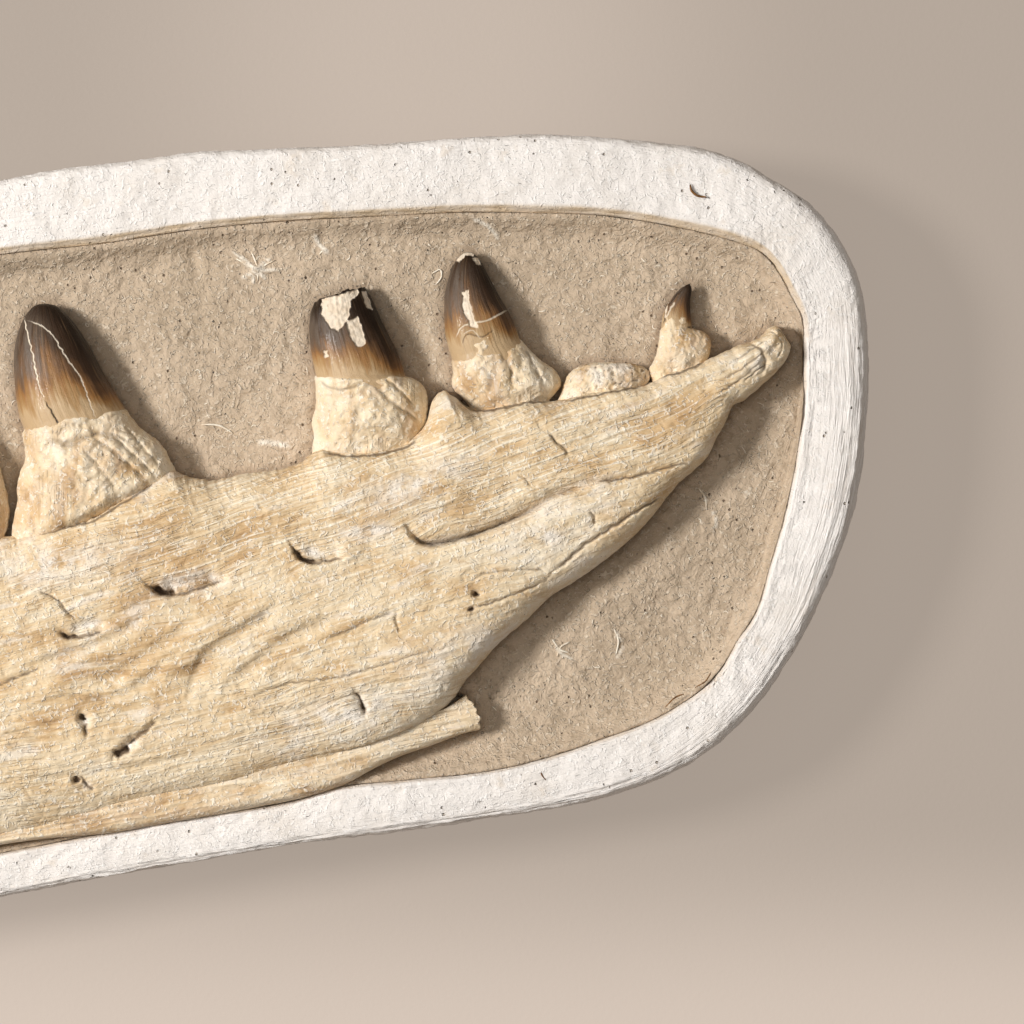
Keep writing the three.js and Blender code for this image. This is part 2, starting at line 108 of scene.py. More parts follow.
# Round the jacket: outer x and y, inner x and y, and the share of the rim's width that is level
RIM = [
    (32, -23, 5.4, -24, 0.2),
    (31.5, -0.5, 5.6, -4, 0.2),
    (28.8, 23, 4.6, 9, 0.25),
    (21.4, 38.3, -0.6, 20, 0.3),
    (8.6, 54.7, -6.8, 30.6, 0.35),
    (-7.8, 66.4, -13.5, 36.6, 0.4),
    (-28.2, 75.6, -26, 41, 0.5),
    (-55.8, 80.2, -50, 46.3, 0.55),
    (-80.3, 82.3, -76, 50.2, 0.55),
    (-104, 83.3, -104, 51.2, 0.55),
    (-126, 82.6, -127, 51.4, 0.55),
    (-146.5, 80.8, -146, 50.8, 0.55),
    (-171, 78.8, -170, 49.6, 0.55),
    (-204, 77.7, -203, 47.8, 0.55),
    (-238, 75.9, -236, 44.7, 0.55),
    (-278, 71, -276, 38.8, 0.55),
    (-318, 64.5, -316, 34.4, 0.55),
    (-400, 51, -400, 20.5, 0.55),
    (-500, 34.5, -500, 4.5, 0.55),
    (-600, 18, -600, -12, 0.55),
    (-665, 4, -662, -25, 0.5),
    (-707, -13, -692, -38, 0.45),
    (-736, -42, -711, -60, 0.4),
    (-750, -82, -721, -90, 0.35),
    (-754, -130, -725, -132, 0.35),
    (-753, -180, -725, -178, 0.35),
    (-745, -226, -719, -214, 0.4),
    (-722, -260, -702, -240, 0.45),
    (-688, -278, -676, -255, 0.5),
    (-640, -278.5, -640, -258, 0.55),
    (-560, -264.2, -560, -245.8, 0.55),
    (-480, -250.8, -480, -232.6, 0.55),
    (-400, -237.4, -400, -219.5, 0.55),
    (-318, -223.5, -316, -205.6, 0.55),
    (-279, -216.2, -276, -197.7, 0.55),
    (-238, -209, -236, -190.6, 0.55),
    (-202, -203.4, -200, -184.8, 0.55),
    (-181, -200.3, -178.4, -178.8, 0.55),
    (-156.5, -196.8, -156, -176.6, 0.55),
    (-124, -192.5, -123.6, -173.2, 0.55),
    (-98.7, -188.6, -98, -167.6, 0.5),
    (-76.2, -184, -75.2, -160, 0.5),
    (-55.8, -177.8, -55, -152.4, 0.45),
    (-35.4, -166.6, -36.5, -141, 0.4),
    (-18, -151.8, -27, -131, 0.35),
    (-1.6, -131.3, -20.5, -120, 0.3),
    (10.6, -109.4, -13.5, -109, 0.25),
    (19.8, -87.4, -8, -91, 0.2),
    (26.3, -68, -2, -70, 0.2),
    (30, -47.5, 2.5, -48, 0.2),
]
RIM_BACK = 24  # the row of RIM at the middle of the block's hind end

DORSAL_EDGE = [
    (-1.5, 1), (-6, 5.8), (-13, 0.6), (-21, -2.2), (-32.4, -7.6), (-41.6, -11.4), (-50, -14),
    (-59, -18.4), (-69, -19.2), (-82, -21.8), (-93, -24.2), (-105, -24.6), (-115, -26.4),
    (-123, -28), (-129, -26.5), (-134, -23), (-139, -20.2), (-143, -24), (-145.6, -33),
    (-150, -38.2), (-157, -42.8), (-165, -44.6), (-178, -45.6), (-189, -44), (-196, -49),
    (-204, -51.6), (-220, -53.6), (-230, -56), (-242, -54.4), (-248, -52), (-254, -56.5),
    (-267, -64.6), (-278, -71.6), (-298, -76.8), (-316, -78.8), (-342, -83), (-372, -80),
    (-402, -88.5), (-432, -86), (-462, -97), (-488, -98), (-516, -105), (-544, -105.5),
    (-570, -113.5), (-596, -113), (-618, -121.5), (-642, -121), (-662, -128.5), (-684, -130),
    (-694, -133),
]
VENTRAL_EDGE = [
    (0.8, -1.8), (-1, -7.4), (-6, -13.4), (-12.4, -19.2), (-19.4, -24.8), (-22.6, -26),
    (-25.6, -32.8), (-29, -38.6), (-33, -46.8), (-37, -51), (-44.6, -57.6), (-57.8, -73.8),
    (-70, -85), (-85.4, -96.2), (-95.6, -102.6), (-105.8, -112.4), (-116, -121),
    (-125.3, -131.5), (-130.6, -137.4), (-134, -143), (-142.4, -150.2), (-160.4, -158.3),
    (-173.2, -162.6), (-193.6, -167), (-224, -175.8), (-261, -183.4), (-296, -193),
    (-316, -197.2), (-356, -203.5), (-396, -210.4), (-476, -223), (-556, -234), (-612, -239),
    (-650, -239), (-672, -233),
]
SPLENIAL_EDGE = [
    (-124.2, -156.2), (-131.2, -157.8), (-143.4, -162.4), (-155.7, -166.6), (-165.2, -171),
    (-178.4, -178), (-193.6, -183), (-214, -187.2), (-254.8, -194.4), (-272, -197.4),
    (-296, -199.4), (-316, -202), (-396, -216), (-476, -230), (-556, -242), (-612, -248),
    (-650, -249), (-668, -243),
]
SPLENIAL_FRONT = (-129.6, -142.2)

# The teeth that the photo shows: outlines up the left and right sides of the root and of the crown.
# dip is how far the enamel reaches down the middle of the root, and tone how much darker it is.
TEETH = {
    "01": dict(
        root_left=[(-54.8, -15.6), (-56, -12), (-54, -8), (-52.4, -2), (-51.6, 4)],
        root_right=[(-33.6, -9.2), (-32, -4.8), (-32, -0.4), (-34, 2.8), (-39.2, 4.8)],
        crown_left=[(-51.6, 4), (-50.4, 11.2), (-47.2, 16.8), (-43.6, 20.8), (-40, 22.8)],
        crown_right=[(-39.2, 4.8), (-39.6, 10.4), (-39.8, 16), (-39.2, 20.4), (-40, 22.8)],
        dip=0.5, tone=-0.12),
    "02": dict(
        root_left=[(-93.2, -25.2), (-91.6, -21.2), (-88.4, -13.6), (-84.4, -10.4), (-79.6, -9)],
        root_right=[(-57.6, -19.2), (-56, -14.4), (-57.6, -11.6), (-61.6, -9.6), (-67.2, -8.8)]),
    "03": dict(
        root_left=[(-126.8, -28.4), (-130.4, -22.8), (-134.4, -18.4), (-134.8, -12.8), (-135.2, -8)],
        root_right=[(-96.4, -24), (-92.4, -18.4), (-94, -12.8), (-102.4, -6.4), (-108.1, 0.4)],
        crown_left=[(-135.2, -8), (-137, -2), (-138.2, 6), (-138.2, 17.2), (-136.8, 24.6),
                    (-134.4, 30.8), (-130.6, 35), (-128.4, 35.4)],
        crown_right=[(-108.1, 0.4), (-112, 10.6), (-116, 17.2), (-119.8, 24.6), (-123.6, 31.4),
                     (-126.6, 34.8), (-128.4, 35.4)],
        dip=3.2, tone=-0.06),
    "04": dict(
        root_left=[(-190.8, -42.8), (-190, -37.2), (-190.4, -32.2), (-189.2, -25.6), (-189.2, -20),
                   (-189.8, -14)],
        root_right=[(-151.2, -42.4), (-146.8, -35.2), (-145.6, -27.2), (-146.4, -20), (-150, -16),
                    (-154, -14.4)],
        crown_left=[(-189.8, -14), (-191.2, -7.6), (-192.2, -0.4), (-192.4, 6.8), (-191.8, 11.6),
                    (-190.4, 15.2)],
        crown_right=[(-154, -14.4), (-156.4, -6.4), (-161.2, 3.6), (-164.4, 10), (-167.4, 16.8),
                     (-170.2, 21.6)],
        dip=2.4, broken=True),
    "06": dict(
        root_left=[(-310.4, -80), (-309.6, -70), (-309, -62.8), (-307.6, -54), (-305.6, -47.2),
                   (-306.4, -36.4)],
        root_right=[(-247.6, -51.2), (-250.8, -44), (-258.8, -36.8), (-263.6, -32), (-266.2, -27.6)],
        crown_left=[(-306.4, -36.4), (-308.6, -30.2), (-310.4, -18), (-310.8, -6), (-308.6, 4.8),
                    (-306, 10), (-302.6, 13.8), (-298.4, 14.8)],
        crown_right=[(-266.2, -27.6), (-270.4, -20.4), (-275.2, -12.4), (-280, -3.2), (-285, 4.8),
                     (-289.6, 10.4), (-293.8, 13.8), (-298.4, 14.8)],
        dip=1.0),
}
# The teeth behind the photo's edge: left and right points of the foot and of the neck, the tip, and
# how far the four sides bow out: crown left and right, root left and right
HIND_TEETH = {
    "07": ((-371, -84), (-315, -78), (-363.5, -45), (-325, -38.6), (-354, 6), (7, 3, 1, 5)),
    "08": ((-430, -89), (-376, -84), (-423.5, -50), (-386, -44.8), (-416, -3), (6, 3, 1, 4)),
    "10": ((-543, -108.6), (-492, -101), (-537, -73), (-501, -67.4), (-530, -29), (6, 3, 1, 3)),
    "11": ((-595, -117.4), (-547, -110), (-589.6, -83.4), (-555.6, -78), (-583, -43), (6, 3, 1, 3)),
    "12": ((-639, -124.6), (-599, -118.6), (-632, -107), (-605, -101.6), None, (0, 0, 3, 2)),
    "13": ((-679, -130.6), (-647, -126.2), (-675, -106.6), (-651, -103), (-669, -78), (5, 3, 0.5, 2)),
}

# Relief: strokes are (points, width to the left of the way along, width to the right, height)

# nerve openings: a pale basin, its width and depth, its sharp lower lip and how deep that is, and
# the dark hole in it and its width. The dark line under the lip and the hole are painted shade
OPENINGS = [
    ([(-250, -97.6), (-243, -98.6), (-235, -96.4), (-227, -94.6)], 3.6, 2.6,
     [(-256, -97.4), (-251.4, -100.6), (-245, -101.8), (-236, -99.6), (-225, -95.4)], 2.2,
     [(-253.4, -98.6), (-249.6, -100.8), (-245, -101.2)], 1.5),
    ([(-285.6, -115.4), (-278, -113.6), (-272, -114)], 2.4, 1.6,
     [(-291, -116.4), (-287, -118.6), (-281, -118.4), (-273, -116)], 1.4,
     [(-289.6, -117.4), (-286, -118.4), (-283, -118.2)], 0.9),
    ([(-193, -83.6), (-186, -85.6), (-179, -85)], 2.6, 1.6,
     [(-199, -81.6), (-195.5, -86.8), (-189, -89), (-183, -88), (-177.6, -87.4)], 1.8,
     [(-197, -84.8), (-193.4, -87.8), (-189, -88.6)], 1.0),
    ([(-281, -150.4), (-280.6, -153)], 2.2, 1.6,
     [(-280.4, -152), (-280.2, -158.4)], 1.0,
     [(-281.8, -149.2), (-281.4, -151.4)], 1.6),
    ([(-265, -163), (-260, -159)], 2.4, 1.6,
     [(-264, -161.4), (-258, -157), (-251.8, -151.8)], 1.5,
     [(-268.6, -165.4), (-266, -163.8), (-263, -162.4)], 1.7),
    ([(-282, -176), (-279.4, -178)], 2.0, 1.4,
     [(-283, -173.6), (-280, -177.4), (-277.4, -179.6)], 1.0,
     [(-284.8, -174.2), (-283.4, -175.8)], 1.4),
    ([(-172.6, -141.4), (-170, -148)], 2.2, 1.0,
     [(-173.4, -140.6), (-170.6, -144.6), (-169.8, -149.8)], 1.2,
     [(-170.8, -144.4), (-170, -147.6)], 0.8),
    ([(-125.6, -101.2), (-125.2, -101.4)], 1.2, 0.6,
     [(-126.4, -101.6), (-124.8, -101.8)], 0.6,
     [(-125.7, -101.2), (-125.4, -101.2)], 0.9),
    ([(-127.2, -107.2), (-127, -107.2)], 1.0, 0.4,
     [(-128, -107.6), (-126.4, -107.6)], 0.4,
     [(-127.2, -107.2), (-126.9, -107.2)], 0.75),
]
BONE_GROOVES = [
    # the long groove in the front half, and the lip over it
    ([(-151.6, -76), (-148, -80), (-143, -81.4), (-136, -80.2), (-122, -76), (-110, -71.2),
      (-101.6, -67.4), (-94.4, -62.6), (-86, -60), (-79, -57.8)], 2.8, 1.0, 3.6),
    ([(-152.6, -75), (-148.4, -80), (-143, -81.9), (-136, -80.8), (-126, -77.8), (-117, -74.6),
      (-108, -70.8)], 0.9, 0.8, 2.4),
    ([(-169, -76), (-160, -75), (-152, -77)], 0.7, 0.9, 1.0),
    # long shallow furrows along the lower half
    ([(-315, -176), (-280, -172), (-240, -165), (-200, -156), (-165, -149)], 1.2, 2.2, 0.8),
    ([(-239, -138), (-236, -130), (-231, -123.6), (-217, -114), (-204, -105)], 1.7, 4.2, 1.7),
    ([(-224, -137.4), (-208, -123.6), (-194, -115), (-180, -109.6)], 1.6, 4.0, 1.5),
    ([(-274, -136), (-259, -126.4), (-247.6, -118), (-238, -113)], 1.8, 3.8, 1.5),
    ([(-300, -128), (-286, -124), (-270, -118), (-256, -110)], 1.4, 2.8, 1.3),
    ([(-290, -142), (-272, -142), (-258, -136), (-248, -127)], 1.4, 3.2, 1.5),
    ([(-214, -150), (-196, -146.6), (-176, -142), (-158, -139)], 1.0, 2.0, 0.8),
]
BONE_CRACKS = [
    ([(-81.2, -56.8), (-66, -55.6), (-58, -53.6), (-46, -50.2), (-38.4, -49.4)], 0.8, 0.8, 1.3),
    ([(-97.6, -95.2), (-91, -89.6), (-80.4, -80.6), (-70, -74), (-58.8, -66.8), (-48.8, -61.6)],
     0.9, 0.8, 1.6),
    ([(-80.4, -68.6), (-78.4, -71.2), (-78.8, -74.2)], 0.8, 0.8, 1.2),
    ([(-129.4, -97.2), (-122, -93.2), (-110, -92), (-99.2, -92), (-97.6, -94.8)], 0.6, 0.6, 0.7),
    ([(-316, -158), (-300, -153.6), (-280, -147.4)], 0.5, 0.6, 0.5),
    ([(-220, -144.4), (-202, -137.2), (-179.2, -134), (-163, -129.4), (-149.8, -125.4),
      (-138, -123)], 0.6, 0.7, 0.9),
    ([(-127.4, -107), (-118.8, -104.4), (-108.8, -100.8), (-98, -96.2)], 0.6, 0.7, 1.0),
    ([(-186, -119.6), (-176, -115.6), (-167.8, -111.6), (-157, -108.2)], 0.7, 0.8, 0.9),
    ([(-156.8, -108), (-157, -112), (-156, -116.8)], 0.6, 0.6, 0.9),
    ([(-300, -100), (-291.6, -103.2), (-287.2, -108.8), (-283.2, -112)], 0.7, 0.7, 1.2),
    ([(-316, -138), (-306, -133.6), (-297, -130.6)], 0.7, 0.7, 1.0),
    ([(-153.6, -75), (-149, -80), (-144, -81.6), (-136, -80.6), (-126, -77.6), (-117, -74.2), (-108, -70.4),
      (-100, -66.4)], 1.0, 0.8, 1.4),
    ([(-108, -54.6), (-105.6, -56.4), (-103.6, -59)], 0.5, 0.5, 0.8),
    ([(-96.4, -37.4), (-93.4, -41.6), (-90.6, -43.6), (-88.4, -46.4)], 0.8, 0.6, 1.5),
    # the knobbly tip
    ([(-27, -16.6), (-17, -9.6), (-9, -3.4)], 0.7, 0.7, 0.8),
    ([(-29, -21.6), (-20, -15.6), (-12, -9)], 0.7, 0.7, 0.8),
    ([(-23, -9), (-15, -3.6), (-10, 0)], 0.6, 0.6, 0.7),
    ([(-17, -1), (-12.4, -4.6), (-10.4, -9), (-12, -14)], 1.0, 0.8, 1.0),
    ([(-9.4, 3.6), (-5.4, 1.4), (-3.6, -3), (-5.6, -8)], 0.5, 0.5, 0.8),
    ([(-6, 4.4), (-2.6, 1.4), (-1.6, -2.6)], 0.4, 0.4, 0.6),
    ([(-19, -17), (-14, -12.6), (-9, -9.6)], 0.5, 0.5, 0.8),
    # under the hind edge of the front half
    ([(-107, -120.6), (-104, -126), (-101, -130)], 0.5, 0.5, 0.6),
    # where the roots meet the jaw, cut in and darkened as painted shade in the joints
    ([(-303, -79), (-285.4, -74.2), (-277.6, -72.6), (-268, -66.6), (-258, -60.6), (-252, -56)],
     0.9, 0.9, 1.6),
    ([(-189, -44.4), (-179.6, -46.4), (-171.6, -46.6), (-162, -45.4), (-151.2, -41.8), (-147.6, -37)],
     0.9, 0.9, 1.6),
    ([(-135.6, -19.4), (-129.4, -27), (-124.6, -28.6), (-114.8, -27.4), (-103.6, -25), (-93, -24.6)],
     0.9, 0.9, 1.6),
    ([(-91.6, -25), (-78, -22.4), (-69, -20.6), (-59, -19.4)], 0.8, 0.8, 1.1),
    ([(-57, -14.4), (-47, -14.2), (-33, -8.4)], 0.8, 0.8, 1.1),
]
# broad swells and hollows of the bone: middle, spread along and across, turn in degrees, height
BONE_SWELLS = [
    ((-232, -128), (22, 7), 22, -1.0),
    ((-222, -112), (30, 5), 18, 0.8),
    ((-262, -124), (24, 4), 35, -0.8),
    ((-252, -134), (30, 5), 28, 0.7),
    ((-176, -84.4), (4, 3), 20, 1.3),
    ((-150, -92), (34, 10), 16, 0.6),
    ((-160, -66), (44, 9), 14, 0.5),
    ((-96, -74), (34, 4), 22, 0.8),
    ((-60, -46), (30, 6), 30, 0.8),
    ((-30, -22), (18, 5), 38, 1.4),
    ((-14, -8), (9, 4), 40, 1.6),
    ((-226, -172), (60, 4), 14, 0.7),
    ((-300, -110), (26, 9), 18, 0.6),
]
# layers of lumps all over the bone: height, length and width of the lumps, seed and octaves
BONE_LUMPS = [(0.8, 50, 20, 11, 3), (0.4, 9, 6, 18, 3), (0.1, 1.6, 1.6, 15, 1)]
BONE_FIBRES = [(0.45, 26, 6, 12, 1), (0.16, 11, 2.2, 13, 1), (0.08, 7, 1.2, 14, 1)]
SPLENIAL_LUMPS = [(0.5, 40, 8, 31, 3)]
SPLENIAL_FIBRES = [(0.4, 22, 3, 32, 1), (0.25, 9, 1.3, 33, 1)]
# where the bone's grain bends, as the swells are given
GRAIN_BENDS = [
    ((-236, -122), (30, 22), 20, 6),
    ((-168, -78), (30, 18), 15, -3),
    ((-290, -160), (40, 20), 10, 4),
    ((-100, -60), (30, 16), 25, -2),
]
# where it is more or less ochre, and where its fibres show most
OCHRE_PLACES = [
    ((-276, -132), (60, 26), 15, 1),
    ((-66, -36), (44, 16), 18, 0.5),
    ((-156, -58), (40, 10), 15, 0.3),
    ((-244, -86), (42, 20), 14, 0.8),
    ((-186, -98), (44, 14), 14, -0.3),
    ((-150, -140), (40, 12), 15, -0.8),
]
COMBED_PLACES = [
    ((-170, -62), (80, 20), 14, 1),
    ((-90, -44), (50, 14), 18, 0.8),
    ((-170, -150), (60, 12), 14, 0.6),
    ((-290, -92), (40, 8), 10, 0.7),
]
# where the bone is whitish: middle, spread along and across, turn in degrees
PALE_PLACES = [
    ((-120, -122), (34, 9), 22),
    ((-96, -76), (20, 9), 20),
    ((-84, -92), (16, 5), 40),
    ((-296, -90), (26, 7), 10),
    ((-150, -58), (24, 6), 20),
    ((-176, -150), (30, 8), 14),
    ((-236, -98), (14, 3.4), 8),
    ((-262, -113), (11, 2.6), 8),
    ((-168, -76), (12, 3), 5),
    ((-12, -6), (9, 4), 45),
    ((-140, -80.5), (12, 1.4), 15),
    ((-98, -118), (12, 6), 45),
]


# Small mathematics

def smooth(t):
    """Rises from 0 to 1 as t does, with a level start and end."""
    t = np.clip(t, 0, 1)
    return t * t * (3 - 2 * t)


def smooth_line(points, closed=False, steps=16):
    """Dense points on the smooth line through the given ones (centripetal Catmull-Rom)."""
    at = np.array(points, float)
    if closed:
        at = np.vstack([at[-1], at, at[:2]])
    else:
        at = np.vstack([2 * at[0] - at[1], at, 2 * at[-1] - at[-2]])
    a, b, c, d = at[:-3], at[1:-2], at[2:-1], at[3:]
    ab, bc, cd = (np.sqrt(np.linalg.norm(q - p, axis=1))[:, None] for p, q in ((a, b), (b, c), (c, d)))
    start = ((b - a) / ab - (c - a) / (ab + bc) + (c - b) / bc) * bc
    end = ((c - b) / bc - (d - b) / (bc + cd) + (d - c) / cd) * bc
    t = (np.arange(steps) / steps)[None, :, None]
    b, c, start, end = (v[:, None, :] for v in (b, c, start, end))
    line = (
        b * (2 * t**3 - 3 * t**2 + 1)
        + start * (t**3 - 2 * t**2 + t)
        + c * (3 * t**2 - 2 * t**3)
        + end * (t**3 - t**2)
    ).reshape(-1, at.shape[1])
    return line if closed else np.vstack([line, at[-2]])


def lengths_along(line):
    return np.concatenate([[0], np.cumsum(np.linalg.norm(np.diff(line[:, :2], axis=0), axis=1))])


def points_at(line, shares):
    """Points at shares of a line's length."""
    run = lengths_along(line)
    return np.stack([np.interp(shares * run[-1], run, line[:, k]) for k in range(line.shape[1])], axis=-1)


def noise(x, y, seed):
    """Gradient noise from about -1 to 1, with cells one unit wide."""
    cell_x, cell_y = np.floor(x).astype(np.int64), np.floor(y).astype(np.int64)
    fx, fy = x - cell_x, y - cell_y
    total = np.zeros(np.broadcast(x, y).shape)
    for dx in (0, 1):
        for dy in (0, 1):
            mixed = (cell_x + dx) * 374761393 + (cell_y + dy) * 668265263 + seed * 40503001
            mixed = ((mixed ^ (mixed >> 13)) * 1274126177) & 0xFFFFFFFF
            angle = (mixed ^ (mixed >> 16)) * (2 * math.pi / 2**32)
            near_x = smooth(fx) if dx else 1 - smooth(fx)
            near_y = smooth(fy) if dy else 1 - smooth(fy)
            total += near_x * near_y * (np.cos(angle) * (fx - dx) + np.sin(angle) * (fy - dy))
    return 1.5 * total


def rough(x, y, seed, octaves):
    """Several octaves of noise."""
    return sum(noise(x * 2**k, y * 2**k, seed + k) / 2**k for k in range(octaves))


def stroke(x, y, line, left, right):
    """1 on a line, falling to 0 over left and right of it, and thinning out at its ends."""
    line = smooth_line(line, steps=5) if len(line) > 2 else np.array(line, float)
    reach = 3 * max(left, right)
    low, high = line.min(0) - reach, line.max(0) + reach
    near = (x > low[0]) & (x < high[0]) & (y > low[1]) & (y < high[1])
    made = np.zeros(x.shape)
    if not near.any():
        return made
    at = np.stack([x[near], y[near]], axis=-1)
    best = np.full(len(at), np.inf)
    side = np.zeros(len(at))
    share = np.zeros(len(at))
    run = lengths_along(line)
    for a, b, start in zip(line[:-1], line[1:], run):
        way = b - a
        length = np.hypot(*way)
        t = np.clip(((at - a) @ way) / length**2, 0, 1)
        off = at - a - t[:, None] * way
        distance = np.hypot(off[:, 0], off[:, 1])
        closer = distance < best
        best[closer] = distance[closer]
        side[closer] = (way[0] * off[:, 1] - way[1] * off[:, 0])[closer]
        share[closer] = ((start + t * length) / run[-1])[closer]
    width = np.where(side > 0, left, right)
    thin = np.clip(np.minimum(share, 1 - share) * 5 + 0.35, 0, 1) if run[-1] > 2 else 1
    made[near] = np.exp(-((best / width) ** 2)) * thin
    return made


def swell(x, y, middle, spread, turn):
    """1 at the middle, falling off as a turned ellipse."""
    turn = math.radians(turn)
    u = (x - middle[0]) * math.cos(turn) + (y - middle[1]) * math.sin(turn)
    v = (y - middle[1]) * math.cos(turn) - (x - middle[0]) * math.sin(turn)
    return np.exp(-((u / spread[0]) ** 2) - (v / spread[1]) ** 2)


def swells(x, y, table):
    """The sum of swells, each given by its middle, spread, turn and height."""
    return sum(height * swell(x, y, middle, spread, turn) for middle, spread, turn, height in table)


def layers(x, y, table):
    """The sum of layers of noise, each given by its height, length, width, seed and octaves."""
    return sum(
        height * rough(x / long, y / wide, seed, octaves) for height, long, wide, seed, octaves in table
    )


def wavy(along, table):
    """How far an edge wanders: waves, each given by its reach, length and seed."""
    return sum(reach * noise(along / length, 0 * along, seed) for reach, length, seed in table)


def inside(x, y, outline):
    """Whether each point lies inside a closed outline."""
    within = np.zeros(x.shape, bool)
    for (ax, ay), (bx, by) in zip(outline, np.roll(outline, -1, axis=0)):
        if ay == by:
            continue
        between = (ay > y) != (by > y)
        within ^= between & (x < (bx - ax) * (y - ay) / (by - ay) + ax)
    return within


def distance_to(x, y, outline):
    """Distance from each point to a closed outline."""
    best = np.full(x.shape, np.inf)
    for (ax, ay), (bx, by) in zip(outline, np.roll(outline, -1, axis=0)):
        wx, wy = bx - ax, by - ay
        t = np.clip(((x - ax) * wx + (y - ay) * wy) / max(wx * wx + wy * wy, 1e-9), 0, 1)
        best = np.minimum(best, np.hypot(x - ax - t * wx, y - ay - t * wy))
    return best


# Meshes

def placed(points):
    """Millimetres in the drawing plane as metres in the frame."""
    x, y, z = points[..., 0], points[..., 1], points[..., 2]
    c, s = math.cos(BLOCK_TILT), math.sin(BLOCK_TILT)
    turned = [x * c + y * s + BLOCK_PLACE[0], y * c - x * s + BLOCK_PLACE[1], z]
    return np.stack(turned, axis=-1) * MM


def placed_point(x, y, z):
    return tuple(placed(np.array([x, y, z], float)))


def flat_places(rows, sides):
    """Places without overlaps in a unit square, for the corners of the sides and of both caps."""
    row, side = np.divmod(np.arange((rows - 1) * sides), sides)
    u = np.stack([row, row, row + 1, row + 1], axis=1) / (rows - 1)
    v = np.stack([side, side + 1, side + 1, side], axis=1) / sides * FLAT_SIDES
    caps = []
    for middle in (0.05, 0.15):
        turn = 2 * np.pi * (np.arange(sides)[:, None] + (1, 0)) / sides
        centre = np.array([middle, (1 + FLAT_SIDES) / 2])
        rim = centre + (1 - FLAT_SIDES) * 0.45 * np.stack([np.cos(turn), np.sin(turn)], axis=-1)
        caps.append(np.concatenate([rim, np.broadcast_to(centre, (sides, 1, 2))], axis=1))
    caps[1] = caps[1][:, (1, 0, 2)]
    return [np.stack([u, v], axis=-1), *caps]


def add_piece(name, mesh, material, node):
    piece = bpy.data.objects.new(name, mesh)
    bpy.context.scene.collection.objects.link(piece)
    piece.data.materials.append(material)
    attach(piece, "root")
    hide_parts(node)


def loft(name, rings, material, node, marks, grain):
    """A closed piece over rings of points, with caps at both ends.

    marks are named values for each point. grain is a pair of them, the place in the material's
    grain, or None.
    """
    rows, sides = rings.shape[:2]
    at = placed(rings.reshape(-1, 3))
    count = rows * sides
    at = np.vstack([at, at[:sides].mean(0), at[count - sides:].mean(0)])
    a = (np.arange(rows - 1)[:, None] * sides + np.arange(sides)).ravel()
    b = (np.arange(rows - 1)[:, None] * sides + (np.arange(sides) + 1) % sides).ravel()
    quads = np.stack([a, b, b + sides, a + sides], axis=1)
    ring = np.arange(sides)
    after = (ring + 1) % sides
    last = count - sides
    first_cap = np.stack([after, ring, np.full(sides, count)], axis=1)
    last_cap = np.stack([last + ring, last + after, np.full(sides, count + 1)], axis=1)
    unfolded = flat_places(rows, sides)
    corner = at[quads]
    across = np.cross(corner[:, 2] - corner[:, 0], corner[:, 3] - corner[:, 1])
    if np.einsum("ij,ij->", across, corner.mean(1)) < 0:
        quads, first_cap, last_cap = quads[:, ::-1], first_cap[:, ::-1], last_cap[:, ::-1]
        unfolded = [part[:, ::-1] for part in unfolded]
    mesh = bpy.data.meshes.new(name)
    mesh.vertices.add(len(at))
    mesh.vertices.foreach_set("co", at.ravel())
    loops = np.concatenate([quads.ravel(), first_cap.ravel(), last_cap.ravel()])
    sizes = np.concatenate([np.full(len(quads), 4), np.full(2 * sides, 3)])
    mesh.loops.add(len(loops))
    mesh.loops.foreach_set("vertex_index", loops)
    mesh.polygons.add(len(sizes))
    mesh.polygons.foreach_set("loop_start", np.concatenate([[0], np.cumsum(sizes)[:-1]]))
    mesh.polygons.foreach_set("use_smooth", np.ones(len(sizes), bool))
    mesh.update(calc_edges=True)
    for label, values in marks.items():
        ends = [values[0].mean(keepdims=True), values[-1].mean(keepdims=True)]
        flat = np.concatenate([values.ravel(), *ends])
        mesh.attributes.new(label, "FLOAT", "POINT").data.foreach_set("value", flat)
    if grain:
        pair = []
        for values in grain:
            flat = values.ravel() * MM
            pair.append(np.concatenate([flat, [flat[:sides].mean(), flat[-sides:].mean()]]))
        layer = mesh.uv_layers.new(name="Grain")
        layer.uv.foreach_set("vector", np.stack(pair, axis=1)[loops].ravel())
    layer = mesh.uv_layers.new(name="OFBake")
    layer.uv.foreach_set("vector", np.concatenate([part.ravel() for part in unfolded]))
    add_piece(name, mesh, material, node)


# Materials

